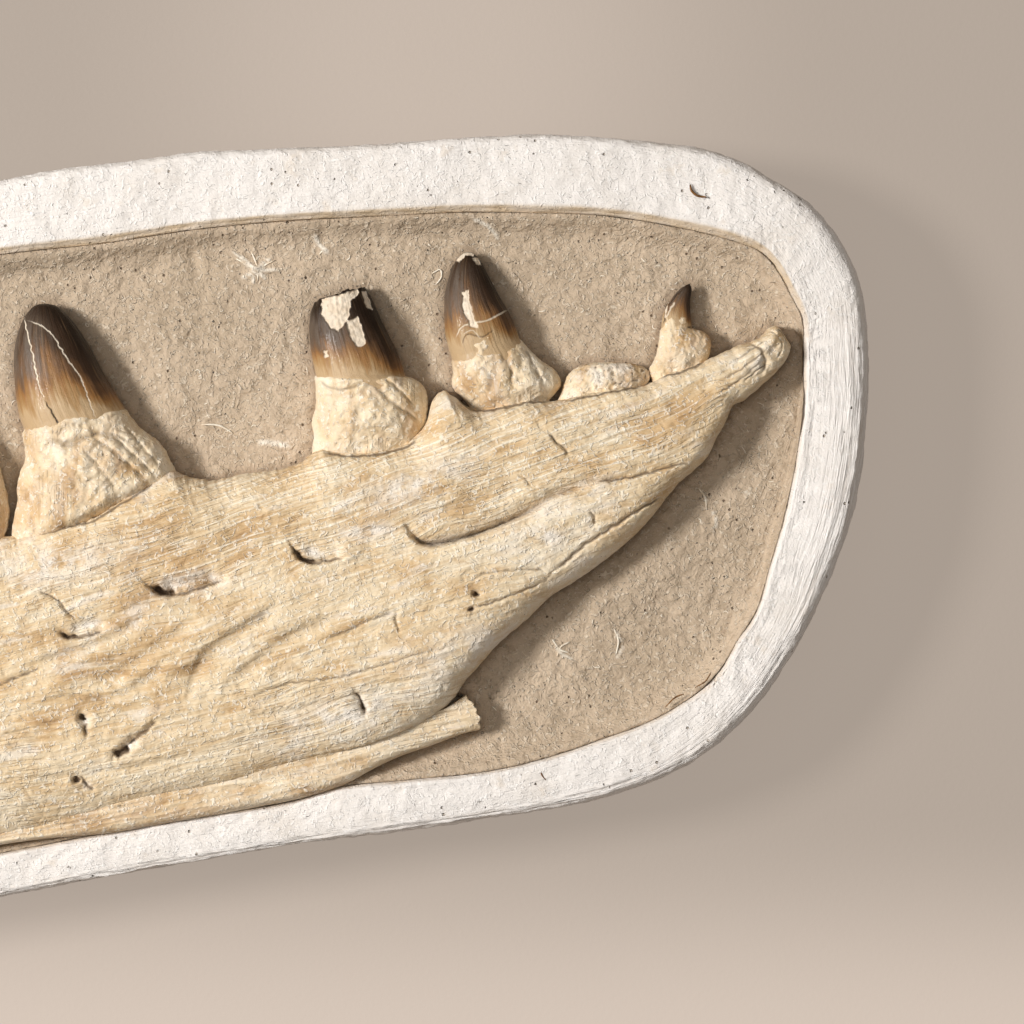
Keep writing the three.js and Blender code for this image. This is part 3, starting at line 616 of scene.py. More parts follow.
class Shade:
    """Builds one material's nodes. Every method returns an output socket."""

    def __init__(self, name, roughness, specular=0.4, coat=0.0):
        self.material = bpy.data.materials.new(name)
        self.material.use_nodes = True
        self.tree = self.material.node_tree
        self.shader = self.tree.nodes["Principled BSDF"]
        self.shader.inputs["Roughness"].default_value = roughness
        self.shader.inputs["Specular IOR Level"].default_value = specular
        self.shader.inputs["Coat Weight"].default_value = coat
        self.place = self.node("ShaderNodeTexCoord").outputs["Object"]

    def node(self, kind, feeds=(), **values):
        """A new node with its settings, and with what feeds its inputs."""
        made = self.tree.nodes.new(kind)
        for key, value in values.items():
            setattr(made, key, value)
        for key, value in dict(feeds).items():
            self.feed(made.inputs[key], value)
        return made

    def feed(self, socket, value):
        if isinstance(value, bpy.types.NodeSocket):
            self.tree.links.new(value, socket)
        elif isinstance(value, (tuple, list)) and socket.type == "RGBA":
            socket.default_value = (*value, 1)
        else:
            socket.default_value = value

    def grain(self, along, across):
        """Places in the grain map, stretched."""
        places = self.node("ShaderNodeUVMap", uv_map="Grain").outputs[0]
        return self.node("ShaderNodeMapping", {"Vector": places, "Scale": (along, across, 1)}).outputs[0]

    def mark(self, name):
        return self.node("ShaderNodeAttribute", attribute_name=name).outputs["Fac"]

    def noise(self, scale, detail, rough=0.55, at=None, warp=0.0):
        feeds = {"Vector": at or self.place, "Scale": scale, "Detail": detail, "Roughness": rough}
        return self.node("ShaderNodeTexNoise", {**feeds, "Distortion": warp}).outputs["Fac"]

    def dots(self, scale, wide, narrow, patches, low, high, detail=1):
        """1 in scattered dots, where a coarser noise lets them show."""
        cells = self.node("ShaderNodeTexVoronoi", {"Vector": self.place, "Scale": scale})
        dots = self.band(cells.outputs["Distance"], wide, narrow)
        return self.times(dots, self.band(self.noise(patches, detail), low, high))

    def ridges(self, value, width):
        """1 along the lines where a noise crosses its middle."""
        return self.band(self.math("ABSOLUTE", self.math("SUBTRACT", value, 0.5)), width, 0.0)

    def band(self, value, low, high, to_low=0.0, to_high=1.0):
        feeds = {"Value": value, "From Min": low, "From Max": high, "To Min": to_low, "To Max": to_high}
        return self.node("ShaderNodeMapRange", feeds, interpolation_type="SMOOTHSTEP").outputs[0]

    def math(self, how, a, b=0.0):
        return self.node("ShaderNodeMath", {0: a, 1: b}, operation=how).outputs[0]

    def times(self, a, b):
        return self.math("MULTIPLY", a, b)

    def plus(self, a, b, much=None):
        """a and b, or a and as much of b."""
        return self.math("ADD", a, b if much is None else self.times(b, much))

    def mix(self, share, a, b):
        feeds = {"Factor": share, "A": a, "B": b}
        return self.node("ShaderNodeMix", feeds, data_type="RGBA").outputs["Result"]

    def ramp(self, value, stops):
        made = self.node("ShaderNodeValToRGB", {"Fac": value})
        elements = made.color_ramp.elements
        while len(elements) < len(stops):
            elements.new(0.5)
        for element, (place, colour) in zip(elements, stops):
            element.position = place
            element.color = (*colour, 1)
        return made.outputs["Color"]

    def bump(self, height, depth, under=None):
        feeds = {"Strength": 1, "Distance": depth, "Height": height}
        if under:
            feeds["Normal"] = under
        return self.node("ShaderNodeBump", feeds).outputs["Normal"]

    def tint(self, colour, share, over, much=None):
        """The colour with another over it, as much as share says."""
        return self.mix(share if much is None else self.times(share, much), colour, over)

    def finish(self, colour, normal, roughness=None):
        self.feed(self.shader.inputs["Base Color"], colour)
        self.feed(self.shader.inputs["Normal"], normal)
        if roughness:
            self.feed(self.shader.inputs["Roughness"], roughness)
        return self.material


def curls(s, scale):
    """Short bent strokes, like those that a brush or a tool leaves in a soft surface."""
    strokes = s.ridges(s.noise(scale, 0.5, 0.4, warp=0.8), 0.1)
    return s.times(strokes, s.band(s.noise(1.2 * scale, 1), 0.47, 0.57))


def plaster_material():
    s = Shade("plaster", 0.85, specular=0.2)
    colour = s.mix(s.band(s.noise(34, 4), 0.45, 0.75), (0.815, 0.765, 0.72), (0.75, 0.69, 0.63))
    colour = s.tint(colour, s.band(s.noise(95, 4, 0.6), 0.6, 0.74), (0.68, 0.56, 0.43), 0.35)
    pit = s.dots(230, 0.15, 0.07, 70, 0.55, 0.6)
    colour = s.tint(colour, pit, (0.34, 0.26, 0.18), 0.75)
    strokes = curls(s, 380)
    colour = s.tint(colour, strokes, (0.9, 0.87, 0.84), 0.55)
    brush = s.noise(1, 3, 0.6, at=s.grain(34, 620), warp=0.3)
    fine_brush = s.noise(1, 3, 0.6, at=s.grain(80, 1300))
    side = s.mark("side")
    colour = s.tint(colour, s.times(side, s.band(brush, 0.47, 0.36, 0, 0.28)), (0.56, 0.47, 0.39))
    colour = s.tint(colour, s.mark("lip"), (0.54, 0.395, 0.235))
    dabs = s.plus(s.times(s.noise(200, 2, 0.5), 0.4), strokes, 0.2)
    normal = s.bump(s.mix(side, dabs, s.times(brush, 1.3)), 0.0008)
    normal = s.bump(s.mix(side, s.noise(1000, 2, 0.6), fine_brush), 0.0003, normal)
    normal = s.bump(fine_brush, 0.0004, normal)
    normal = s.bump(pit, -0.0012, normal)
    return s.finish(colour, normal)


def marl_material():
    s = Shade("marl", 0.92, specular=0.15)
    colour = s.mix(s.band(s.noise(20, 5), 0.35, 0.68), (0.475, 0.37, 0.265), (0.545, 0.428, 0.312))
    colour = s.tint(colour, s.band(s.noise(300, 3, 0.6), 0.5, 0.68, 0, 0.6), (0.34, 0.26, 0.18))
    strokes = curls(s, 460)
    colour = s.tint(colour, strokes, (0.74, 0.64, 0.51), 0.6)
    chip = s.dots(430, 0.24, 0.12, 170, 0.54, 0.63, detail=2)
    colour = s.tint(colour, chip, (0.8, 0.71, 0.58), 0.7)
    hole = s.dots(240, 0.15, 0.07, 80, 0.54, 0.6)
    colour = s.tint(colour, hole, (0.2, 0.14, 0.095))
    colour = s.tint(colour, s.mark("pale"), (0.84, 0.77, 0.66))
    # dark is painted shade: the marl is darker where it meets the bone and the rim, and round the teeth
    colour = s.tint(colour, s.mark("dark"), (0.2, 0.13, 0.08))
    normal = s.bump(s.plus(s.noise(270, 3, 0.55, warp=0.6), strokes, 0.22), 0.0013)
    normal = s.bump(s.noise(1000, 2, 0.6), 0.0003, normal)
    normal = s.bump(chip, 0.0007, normal)
    normal = s.bump(hole, -0.001, normal)
    return s.finish(colour, normal)


def bone_material(name, fibres, pale):
    """fibres is how strongly the grain shows, and pale how much lighter the bone is."""
    s = Shade(name, 0.65, specular=0.22)
    streaks = s.noise(1, 4, 0.6, at=s.grain(36, 300))
    fine = s.noise(1, 2, 0.55, at=s.grain(48, 820), warp=0.15)
    lines = s.ridges(s.noise(1, 1, 0.5, at=s.grain(40, 420), warp=0.25), 0.035)
    lines = s.times(lines, s.band(s.noise(50, 2), 0.54, 0.64))
    strokes = curls(s, 420)
    patch = s.noise(1, 7, 0.68, at=s.grain(32, 66), warp=0.9)
    broad = s.noise(12, 3, 0.5, warp=0.5)
    tone = s.plus(s.times(streaks, 0.2 * fibres), patch, 0.9 - 0.2 * fibres)
    tone = s.plus(s.plus(tone, broad, 0.3), s.mark("ochre"), -0.095)
    tone = s.plus(tone, pale)
    colour = s.ramp(tone, [
        (0.36, (0.45, 0.28, 0.135)),
        (0.42, (0.6, 0.415, 0.225)),
        (0.48, (0.695, 0.53, 0.33)),
        (0.55, (0.75, 0.605, 0.41)),
        (0.66, (0.8, 0.695, 0.535)),
    ])
    combed = s.times(s.mark("combed"), fibres)
    colour = s.tint(colour, s.times(s.band(fine, 0.53, 0.66, 0, 0.6), combed), (0.95, 0.88, 0.74))
    colour = s.tint(colour, s.times(s.band(fine, 0.47, 0.33, 0, 0.75), combed), (0.6, 0.4, 0.21))
    colour = s.tint(colour, lines, (0.5, 0.32, 0.16), 0.6 * fibres)
    colour = s.tint(colour, strokes, (0.93, 0.87, 0.76), 0.6)
    white = s.times(s.band(s.noise(1, 5, 0.65, at=s.grain(34, 90), warp=0.4), 0.55, 0.68), 0.55)
    marked = s.times(s.mark("pale"), s.band(s.noise(90, 5, 0.65), 0.38, 0.62))
    colour = s.tint(colour, s.math("MAXIMUM", white, marked), (0.83, 0.755, 0.66))
    stain = s.band(s.noise(95, 5, 0.68, warp=0.6), 0.56, 0.68, 0, 0.55)
    colour = s.tint(colour, stain, (0.54, 0.37, 0.2))
    colour = s.tint(colour, s.dots(300, 0.11, 0.05, 70, 0.56, 0.6), (0.2, 0.13, 0.075))
    # crack darkens the cracks and the roots' folds and pores; in the grooves, in the joints where the roots
    # meet the jaw and in the nerve openings it is painted shade
    colour = s.tint(colour, s.mark("crack"), (0.115, 0.075, 0.045))
    normal = s.bump(streaks, 0.0007 * fibres)
    normal = s.bump(s.math("SUBTRACT", s.times(fine, combed), s.times(lines, 0.3)), 0.0006, normal)
    grit = s.plus(s.times(s.noise(240, 2, 0.55, warp=0.6), 0.8), strokes, 0.2)
    return s.finish(colour, s.bump(grit, 0.001, normal))


def enamel_material():
    s = Shade("enamel", 0.32, specular=0.16, coat=0.03)
    streaks = s.noise(1, 4, 0.6, at=s.grain(900, 40))
    flames = s.noise(1, 3, 0.55, at=s.grain(300, 45))
    broad = s.noise(1, 3, 0.5, at=s.grain(90, 50))
    # height is darker towards the tip, and carries painted shade on the crown's right flank, away from the
    # light
    height = s.mark("height")
    for part, much in ((streaks, 0.32), (flames, 0.6), (broad, 0.36)):
        height = s.plus(height, s.math("SUBTRACT", part, 0.5), much)
    colour = s.ramp(height, [
        (0.0, (0.48, 0.335, 0.19)),
        (0.1, (0.37, 0.225, 0.1)),
        (0.24, (0.28, 0.135, 0.045)),
        (0.36, (0.15, 0.075, 0.033)),
        (0.52, (0.05, 0.027, 0.015)),
        (0.85, (0.016, 0.008, 0.004)),
    ])
    # grey enamel with a painted sheen on the crown's lit left flank
    grey_and_sheen = s.times(s.mark("grey_and_sheen"), s.band(flames, 0.3, 0.6))
    colour = s.tint(colour, grey_and_sheen, (0.14, 0.106, 0.08), 0.8)
    colour = s.tint(colour, s.band(streaks, 0.54, 0.75, 0, 0.3), (0.34, 0.21, 0.11))
    colour = s.tint(colour, s.band(streaks, 0.42, 0.3, 0, 0.35), (0.06, 0.035, 0.02))
    colour = s.tint(colour, s.mark("dark"), (0.04, 0.025, 0.015))
    inner = s.mix(s.noise(260, 4, 0.7), (0.55, 0.4, 0.25), (0.9, 0.82, 0.7))
    colour = s.tint(colour, s.mark("chip"), inner)
    colour = s.tint(colour, s.mark("crack"), (0.76, 0.66, 0.52))
    normal = s.bump(s.noise(500, 4, 0.7), 0.0003, s.bump(streaks, 0.00035))
    return s.finish(colour, normal, s.band(s.mark("chip"), 0.1, 0.5, 0.32, 0.8))


# The bones

def grain_across(x, y):
    """The bone's grain: lines along which this is the same run with the fibres."""
    plain = y - 0.36 * x - 0.0011 * x * (y + 110)
    return plain + swells(x, y, GRAIN_BENDS) + 2.4 * rough(x / 38, y / 24, 5, 2)


def bone_relief(x, y, grain):
    """The bone's surface over its plain swell, and how dark and how pale it is."""
    relief = layers(x, y, BONE_LUMPS) + layers(x, grain, BONE_FIBRES)
    relief += 1.6 * swell(x, y, (-8, -4), (15, 11), 40) * rough(x / 4.5, y / 4.5, 19, 2)
    relief += 1.5 * swells(x, y, BONE_SWELLS)
    crack, pale = np.zeros(x.shape), np.zeros(x.shape)
    for middle, spread, turn in PALE_PLACES:
        np.maximum(pale, swell(x, y, middle, spread, turn), out=pale)
    even = (x, y)
    ragged = (x + 0.5 * noise(x / 2.6, y / 2.6, 16), y + 0.5 * noise(x / 2.6, y / 2.6, 17))

    def cut(at, line, left, right, depth, dark=0, start=0.5, soft=0.5):
        """Cuts a stroke into the relief, dark where it is over start. Returns it."""
        made = stroke(*at, line, left, right)
        np.subtract(relief, depth * made, out=relief)
        np.maximum(crack, dark * smooth((made - start) / soft), out=crack)
        return made

    # Painted shade: each groove is darkened down its middle, and each opening gets a dark line under its
    # lip and a dark hole
    for line, left, right, depth in BONE_GROOVES:
        cut(even, line, left, right, depth, 0.45 * min(1, depth / 3), 0.6, 0.4)
    for basin, wide, deep, lip, lip_deep, hole, hole_wide in OPENINGS:
        np.maximum(pale, 1.2 * cut(even, basin, wide, 0.8 * wide, 1.3 * deep), out=pale)
        cut(ragged, lip, 1.5, 0.55, 1.3 * lip_deep)
        cut(ragged, lip, 1.0, 0.55, 0, 0.85, 0.25, 0.6)
        cut(ragged, hole, hole_wide, hole_wide, 2.6 * hole_wide, 0.97, 0.3, 0.35)
    for line, left, right, depth in BONE_CRACKS:
        cut(ragged, line, left, right, 0.8 * depth, 0.8 * min(1, depth))
    return relief, crack, pale


def bone_rings(lower, upper, rise, low_side, high_side, low_rounding, strips, low_power):
    """Rings of points over a bone from its lower to its upper edge.

    rise is the height of its middle in each ring, and low_side and high_side those of its edges.
    low_rounding and low_power are the powers of the curve down to the lower edge: a low_power of
    0.5 ends it upright, and a greater one ends it in a slope.
    """
    even = np.arange(strips + 1) / strips
    across = 0.35 * (0.5 - 0.5 * np.cos(np.pi * even)) + 0.65 * even
    flat = lower[:, None] * (1 - across[None, :, None]) + upper[:, None] * across[None, :, None]
    rounding = np.where(across[None, :] < 0.5, low_rounding[:, None], BONE_ROUNDING)
    power = np.where(across[None, :] < 0.5, np.reshape(low_power, (-1, 1)), 0.5)
    dome = np.maximum(0, 1 - np.abs(2 * across[None, :] - 1) ** rounding) ** power
    side = np.where(across[None, :] < 0.5, low_side[:, None], high_side[:, None])
    height = MARL_TOP + side + (rise[:, None] - side) * dome
    return flat[..., 0], flat[..., 1], height, across, dome


def root_heights(x):
    """How high the roots stand at the jaw's upper edge."""
    height = np.zeros(x.shape)
    feet = [(tooth["root_left"][0], tooth["root_right"][0]) for tooth in TEETH.values()]
    feet += [(tooth[0], tooth[1]) for tooth in HIND_TEETH.values()]
    for left, right in feet:
        middle, half = (left[0] + right[0]) / 2, (right[0] - left[0]) / 2
        bulge = np.sqrt(np.maximum(0, 1 - ((x - middle) / half) ** 2))
        height = np.maximum(height, (TOOTH_AXIS - MARL_TOP + FOOT_DEPTH * half - 1.2) * bulge)
    return height


def widened(values):
    """Rows of values with their first and last ones twice."""
    return np.concatenate([values[:, :1], values, values[:, -1:]], axis=1)


def loft_face(name, x, y, z, bed, material, node, marks, grain=None):
    """A piece with a relief face, upright sides and a level underside at the height bed."""
    x, y = widened(x), widened(y)
    beds = np.full((len(x), 1), float(bed))
    rings = np.stack([x, y, np.concatenate([beds, z, beds], axis=1)], axis=-1)
    marks = {label: widened(values) for label, values in marks.items()}
    loft(name, rings, material, node, marks, (x, widened(grain)) if grain is not None else None)


def stations(line_a, line_b, near, far):
    """Shares of the jaw's length: near apart where the camera sees it, and far apart behind."""
    whole = lengths_along(line_a)[-1]
    middle = (points_at(line_a, np.linspace(0, 1, 400)) + points_at(line_b, np.linspace(0, 1, 400))) / 2
    turn = np.interp(-SEEN_FROM, -middle[:, 0], np.linspace(0, 1, 400))
    front = np.linspace(0, turn, int(whole * turn / near))
    back = np.linspace(turn, 1, int(whole * (1 - turn) / far))
    return np.concatenate([front, back[1:]])


def jaw_edges():
    return smooth_line(DORSAL_EDGE), smooth_line(VENTRAL_EDGE)


def make_jaw(material):
    dorsal, ventral = jaw_edges()
    shares = stations(dorsal, ventral, *JAW_STEPS)
    upper, lower = points_at(dorsal, shares), points_at(ventral, shares)
    upper[:, 1] += wavy(upper[:, 0], [(0.35, 1.9, 21), (0.3, 5, 22)])
    lower[:, 1] += wavy(lower[:, 0], [(0.3, 2.4, 23)])
    from_tip = np.sqrt(np.clip(-(lower[:, 0] + upper[:, 0]) / 2 / TIP_SWELL, 0, 1))
    from_back = BACK_RISE + (1 - BACK_RISE) * np.minimum(1, (1 - shares) / BACK_SWELL)
    rise = (TIP_RISE + (BONE_RISE - TIP_RISE) * from_tip) * from_back
    round_tip = np.minimum(1, shares * lengths_along(dorsal)[-1] / TIP_ROUND)
    rise = rise * (TIP_END + (1 - TIP_END) * np.sqrt(1 - (1 - round_tip) ** 2))
    plain = BONE_SIDE * rise
    by_splenial = smooth((EASED_FROM - lower[:, 0]) / EASED_OVER)
    low_side = plain + (SPLENIAL_RISE * 0.98 - plain) * by_splenial
    high_side = np.maximum(plain, np.minimum(root_heights(upper[:, 0]), rise))
    x, y, z, across, dome = bone_rings(
        lower, upper, rise, low_side, high_side, BONE_ROUNDING - SIDE_EASED[0] * by_splenial, JAW_STRIPS,
        0.5 + SIDE_EASED[1] * by_splenial)
    bow = BACK_BOW * smooth((shares - BACK_BOW_START) / (1 - BACK_BOW_START))
    x = x - bow[:, None] * 4 * (across * (1 - across))[None, :]
    grain = grain_across(x, y)
    relief, crack, pale = bone_relief(x, y, grain)
    z = z + relief * (0.25 + 0.75 * dome) * np.minimum(1, from_tip + 0.4)[:, None]
    z = np.where(z > CREST_LIMIT, CREST_LIMIT + CREST_SPARE * np.tanh((z - CREST_LIMIT) / CREST_SPARE), z)
    marks = {"crack": crack, "ochre": swells(x, y, OCHRE_PLACES), "pale": pale,
             "combed": np.minimum(0.4 + swells(x, y, COMBED_PLACES), 1)}
    loft_face("jaw_bone", x, y, z, MARL_TOP - BONE_BED, material, "dentary", marks, grain)


def make_splenial(material):
    lower_edge = smooth_line(SPLENIAL_EDGE)
    upper_edge = smooth_line([SPLENIAL_FRONT] + [p for p in VENTRAL_EDGE if p[0] < SPLENIAL_JOINS])
    shares = stations(lower_edge, upper_edge, *SPLENIAL_STEPS)
    lower, upper = points_at(lower_edge, shares), points_at(upper_edge, shares)
    upper[:, 1] += SPLENIAL_LAP * smooth((SPLENIAL_JOINS + 4 - upper[:, 0]) / 10)
    from_front = smooth(shares / SPLENIAL_SWELL)
    rise = SPLENIAL_RISE * (SPLENIAL_FRONT_RISE + (1 - SPLENIAL_FRONT_RISE) * from_front)
    rounding = np.full(len(rise), float(SPLENIAL_ROUNDING))
    x, y, z, across, dome = bone_rings(
        lower, upper, rise, 0.35 * rise, 1.02 * rise, rounding, SPLENIAL_STRIPS, 0.6)
    front = np.exp(-shares * lengths_along(lower_edge)[-1] / 9)
    broken = 2.2 * 4 * across * (1 - across) + wavy(across, [(1.1, 1 / 7, 34)])
    x = x + front[:, None] * broken[None, :]
    grain = grain_across(x, y) * 0.4 + (y - 0.2 * x) * 0.6
    z = z + (layers(x, y, SPLENIAL_LUMPS) + layers(x, grain, SPLENIAL_FIBRES)) * (0.3 + 0.7 * dome)
    plain = np.zeros(x.shape)
    marks = {"crack": plain, "ochre": 0.2 + 0.5 * swell(x, y, (-260, -190), (70, 12), 10),
             "pale": plain + 0.2, "combed": plain + 0.4}
    loft_face("splenial_bone", x, y, z, MARL_TOP - BONE_BED, material, "splenial", marks, grain)


# The teeth

ROOT_FOLDS = {
    "03": [
        ([(-115, -3), (-112.4, -10), (-110.8, -19)], 1.2, 1.8, 1.5),
        ([(-106, -3), (-102, -11), (-98.6, -18)], 1.0, 1.2, 1.2),
        ([(-124, -10), (-120, -16), (-120.4, -22)], 1.4, 1.4, 0.5),
    ],
    "04": [
        ([(-168, -15), (-159.3, -24.7), (-151.6, -30.2), (-147.2, -33.6)], 1.0, 1.0, 1.4),
        ([(-162, -15), (-155, -21), (-149.6, -27)], 0.7, 0.7, 1.0),
        ([(-189.3, -15.8), (-184, -19), (-179.3, -20.2), (-172.7, -18.6), (-169, -16)], 0.9, 0.9, 1.0),
        ([(-170, -16.6), (-165, -18.6), (-161, -18)], 0.6, 0.6, 1.2),
    ],
    "06": [
        ([(-293, -42.4), (-285, -42), (-277, -38), (-270, -38), (-262, -42)], 1.2, 1.2, 1.5),
        ([(-277, -39), (-268, -46), (-258, -55)], 0.8, 0.8, 1.4),
        ([(-270, -38), (-262, -46), (-254, -53)], 0.7, 0.7, 1.3),
        ([(-266, -34), (-259, -42), (-252, -50)], 0.7, 0.7, 1.0),
        ([(-282, -43), (-275, -51), (-268, -60)], 0.8, 0.8, 0.8),
        ([(-295, -39.6), (-289, -41.4), (-281, -37.6)], 2.2, 2.2, 0.3),
    ],
}
CROWN_CRACKS = {
    # crown 1's pale streak is a painted highlight down its left flank
    "01": [([(-49.4, 7), (-48.6, 11), (-46, 15.4)], 0.45, 0.45, 0.7)],
    "03": [
        ([(-134, 0.6), (-131, 5), (-126, 6.6), (-121, 7.6), (-112.4, 12.4)], 0.45, 0.45, 0.7),
        ([(-131, 2), (-127, 3.6), (-124, 0)], 0.3, 0.3, 0.5),
    ],
    "06": [
        ([(-306.4, 9.6), (-304.7, 2.8), (-302.7, -4), (-301.1, -11.2), (-299.3, -18.7), (-297.3, -24)],
         0.36, 0.36, 1),
        ([(-305.4, 8), (-298.7, 5.3), (-294, 1.3), (-290.7, -4), (-287.3, -9.3), (-283.3, -14.7),
          (-281.1, -20), (-278.7, -26.7), (-276, -33.3)], 0.3, 0.3, 0.8),
    ],
}
DARK_CRACKS = {
    "01": [([(-51.6, 4.8), (-48, 4), (-43.6, 4.2), (-39.2, 5.6)], 0.35, 0.35, 0.8),
           ([(-50.6, 6), (-49.6, 11), (-46.4, 16.6), (-43, 20.2)], 0.4, 0.3, 0.75)],
    "06": [([(-297.3, -24), (-294, -29.2), (-290.7, -34.7), (-287.3, -41.2)], 0.4, 0.4, 1)],
    "03": [([(-131, -2), (-129, 2), (-123, 1), (-118, 4)], 0.3, 0.3, 0.6)],
}
# chipped places, as outlines
CROWN_CHIPS = {
    "03": [
        [(-131.4, 19), (-128.8, 19.6), (-126.4, 8), (-124.6, 4.4), (-128, 5), (-130.6, 11)],
        [(-134, 31.6), (-130, 36.4), (-126, 36), (-127, 33.4), (-130, 34), (-132.4, 31)],
        [(-127.6, 33), (-124.6, 33), (-123.4, 30), (-125.6, 30.6)],
    ],
    "04": [
        [(-187.4, 16), (-173.6, 20), (-171.8, 19), (-175.6, 15), (-176.2, 10), (-177.6, 6.4), (-180.4, 3),
         (-184, 5), (-187, 9)],
        [(-177.4, 7), (-173, 9), (-171, 4.4), (-169, -2), (-172.6, -3.4), (-175.6, 1)],
        [(-186.6, -5), (-184.8, -4.4), (-184, -7), (-186, -7.4)],
        [(-171.4, 19.4), (-169.8, 19.4), (-167, 12), (-169.4, 13)],
    ],
    # crown 1's chip is a painted highlight, drawn as a pale chip on its left flank
    "01": [[(-50.4, 9), (-49.6, 9), (-48.8, 14), (-49.8, 13)]],
}


def bowed(a, b, bow):
    """Points from a to b on a bowed line. bow moves its middle to the left of the way there."""
    a, b = np.array(a, float), np.array(b, float)
    way = b - a
    to_left = np.array([-way[1], way[0]]) / np.hypot(*way)
    t = np.linspace(0, 1, 9)[:, None]
    return a + t * way + bow * 4 * t * (1 - t) * to_left


def hind_tooth(foot_left, foot_right, neck_left, neck_right, tip, bow):
    """The outlines of a tooth that the photo doesn't show."""
    tooth = dict(
        root_left=bowed(foot_left, neck_left, bow[2]),
        root_right=bowed(foot_right, neck_right, -bow[3]),
    )
    if tip:
        tooth["crown_left"] = bowed(neck_left, tip, bow[0])
        tooth["crown_right"] = bowed(neck_right, tip, -bow[1])
        tooth["dip"] = 1.5
    return tooth


def tooth_frame(tooth, spacing):
    """Left and right points up a whole tooth, their distance up from the neck, and half depths."""
    root_left, root_right = smooth_line(tooth["root_left"]), smooth_line(tooth["root_right"])
    up = (root_left[-1] + root_right[-1] - root_left[0] - root_right[0]) / 2
    up /= np.hypot(*up)
    tall = (lengths_along(root_left)[-1] + lengths_along(root_right)[-1]) / 2
    shares = np.linspace(0, 1, max(12, int(tall / spacing)))
    left, right = points_at(root_left, shares), points_at(root_right, shares)
    depth = FOOT_DEPTH + (CROWN_DEPTH - FOOT_DEPTH) * shares
    height = -tall * (1 - shares)
    # the foot goes on under the face of the jaw
    under = np.linspace(TOOTH_SINK, spacing, 8)
    left = np.vstack([left[0] - under[:, None] * up, left])
    right = np.vstack([right[0] - under[:, None] * up, right])
    depth = np.concatenate([FOOT_DEPTH * (1 - 0.5 * (under / TOOTH_SINK) ** 2), depth])
    height = np.concatenate([-tall - under, height])
    if "crown_left" in tooth:
        crown_left, crown_right = smooth_line(tooth["crown_left"]), smooth_line(tooth["crown_right"])
        tall = (lengths_along(crown_left)[-1] + lengths_along(crown_right)[-1]) / 2
        even = np.linspace(0, 1, max(20, int(tall / spacing)) + 1)[1:]
        if not tooth.get("broken"):
            even = 1 - (1 - even * 0.997) ** 1.25  # closer together towards the tip
        left = np.vstack([left, points_at(crown_left, even)])
        right = np.vstack([right, points_at(crown_right, even)])
        depth = np.concatenate([depth, np.full(len(even), CROWN_DEPTH)])
        height = np.concatenate([height, tall * even])
    return left, right, height, depth


def upright_rings(left, right, depth, sides):
    """Upright ellipses from the left points to the right points, finest on top."""
    top = int(sides * 0.8)
    angle = np.concatenate([
        np.linspace(0, np.pi, top, endpoint=False),
        np.linspace(np.pi, 2 * np.pi, sides - top, endpoint=False),
    ])
    middle, half = (left + right) / 2, (right - left) / 2
    flat = middle[:, None] + half[:, None] * np.cos(angle)[None, :, None]
    z = TOOTH_AXIS + np.linalg.norm(half, axis=1)[:, None] * depth[:, None] * np.sin(angle)[None, :]
    return flat[..., 0], flat[..., 1], z, angle


def swollen(x, y, z, by):
    """The rings made bigger or smaller round their own middles."""
    middles = x.mean(1, keepdims=True), y.mean(1, keepdims=True), TOOTH_AXIS
    return [middle + (values - middle) * by for values, middle in zip((x, y, z), middles)]


def neck_line(tooth, height, angle, x, y, seed):
    """Distance up from the ragged line where the enamel ends."""
    ragged = 0.7 * noise(x / 5, y / 5, seed) + 0.35 * noise(x / 1.7, y / 1.7, seed + 1)
    return height[:, None] + tooth["dip"] * np.maximum(0, np.sin(angle))[None, :] + ragged


def tooth_rings(tooth, spacing, sides, lowest, highest):
    """Rings of a tooth from lowest to highest over its neck, and the height and angle of their points."""
    left, right, height, depth = tooth_frame(tooth, spacing)
    kept = (height > lowest) & (height < highest)
    x, y, z, angle = upright_rings(left[kept], right[kept], depth[kept], sides)
    return x, y, z, height[kept], angle


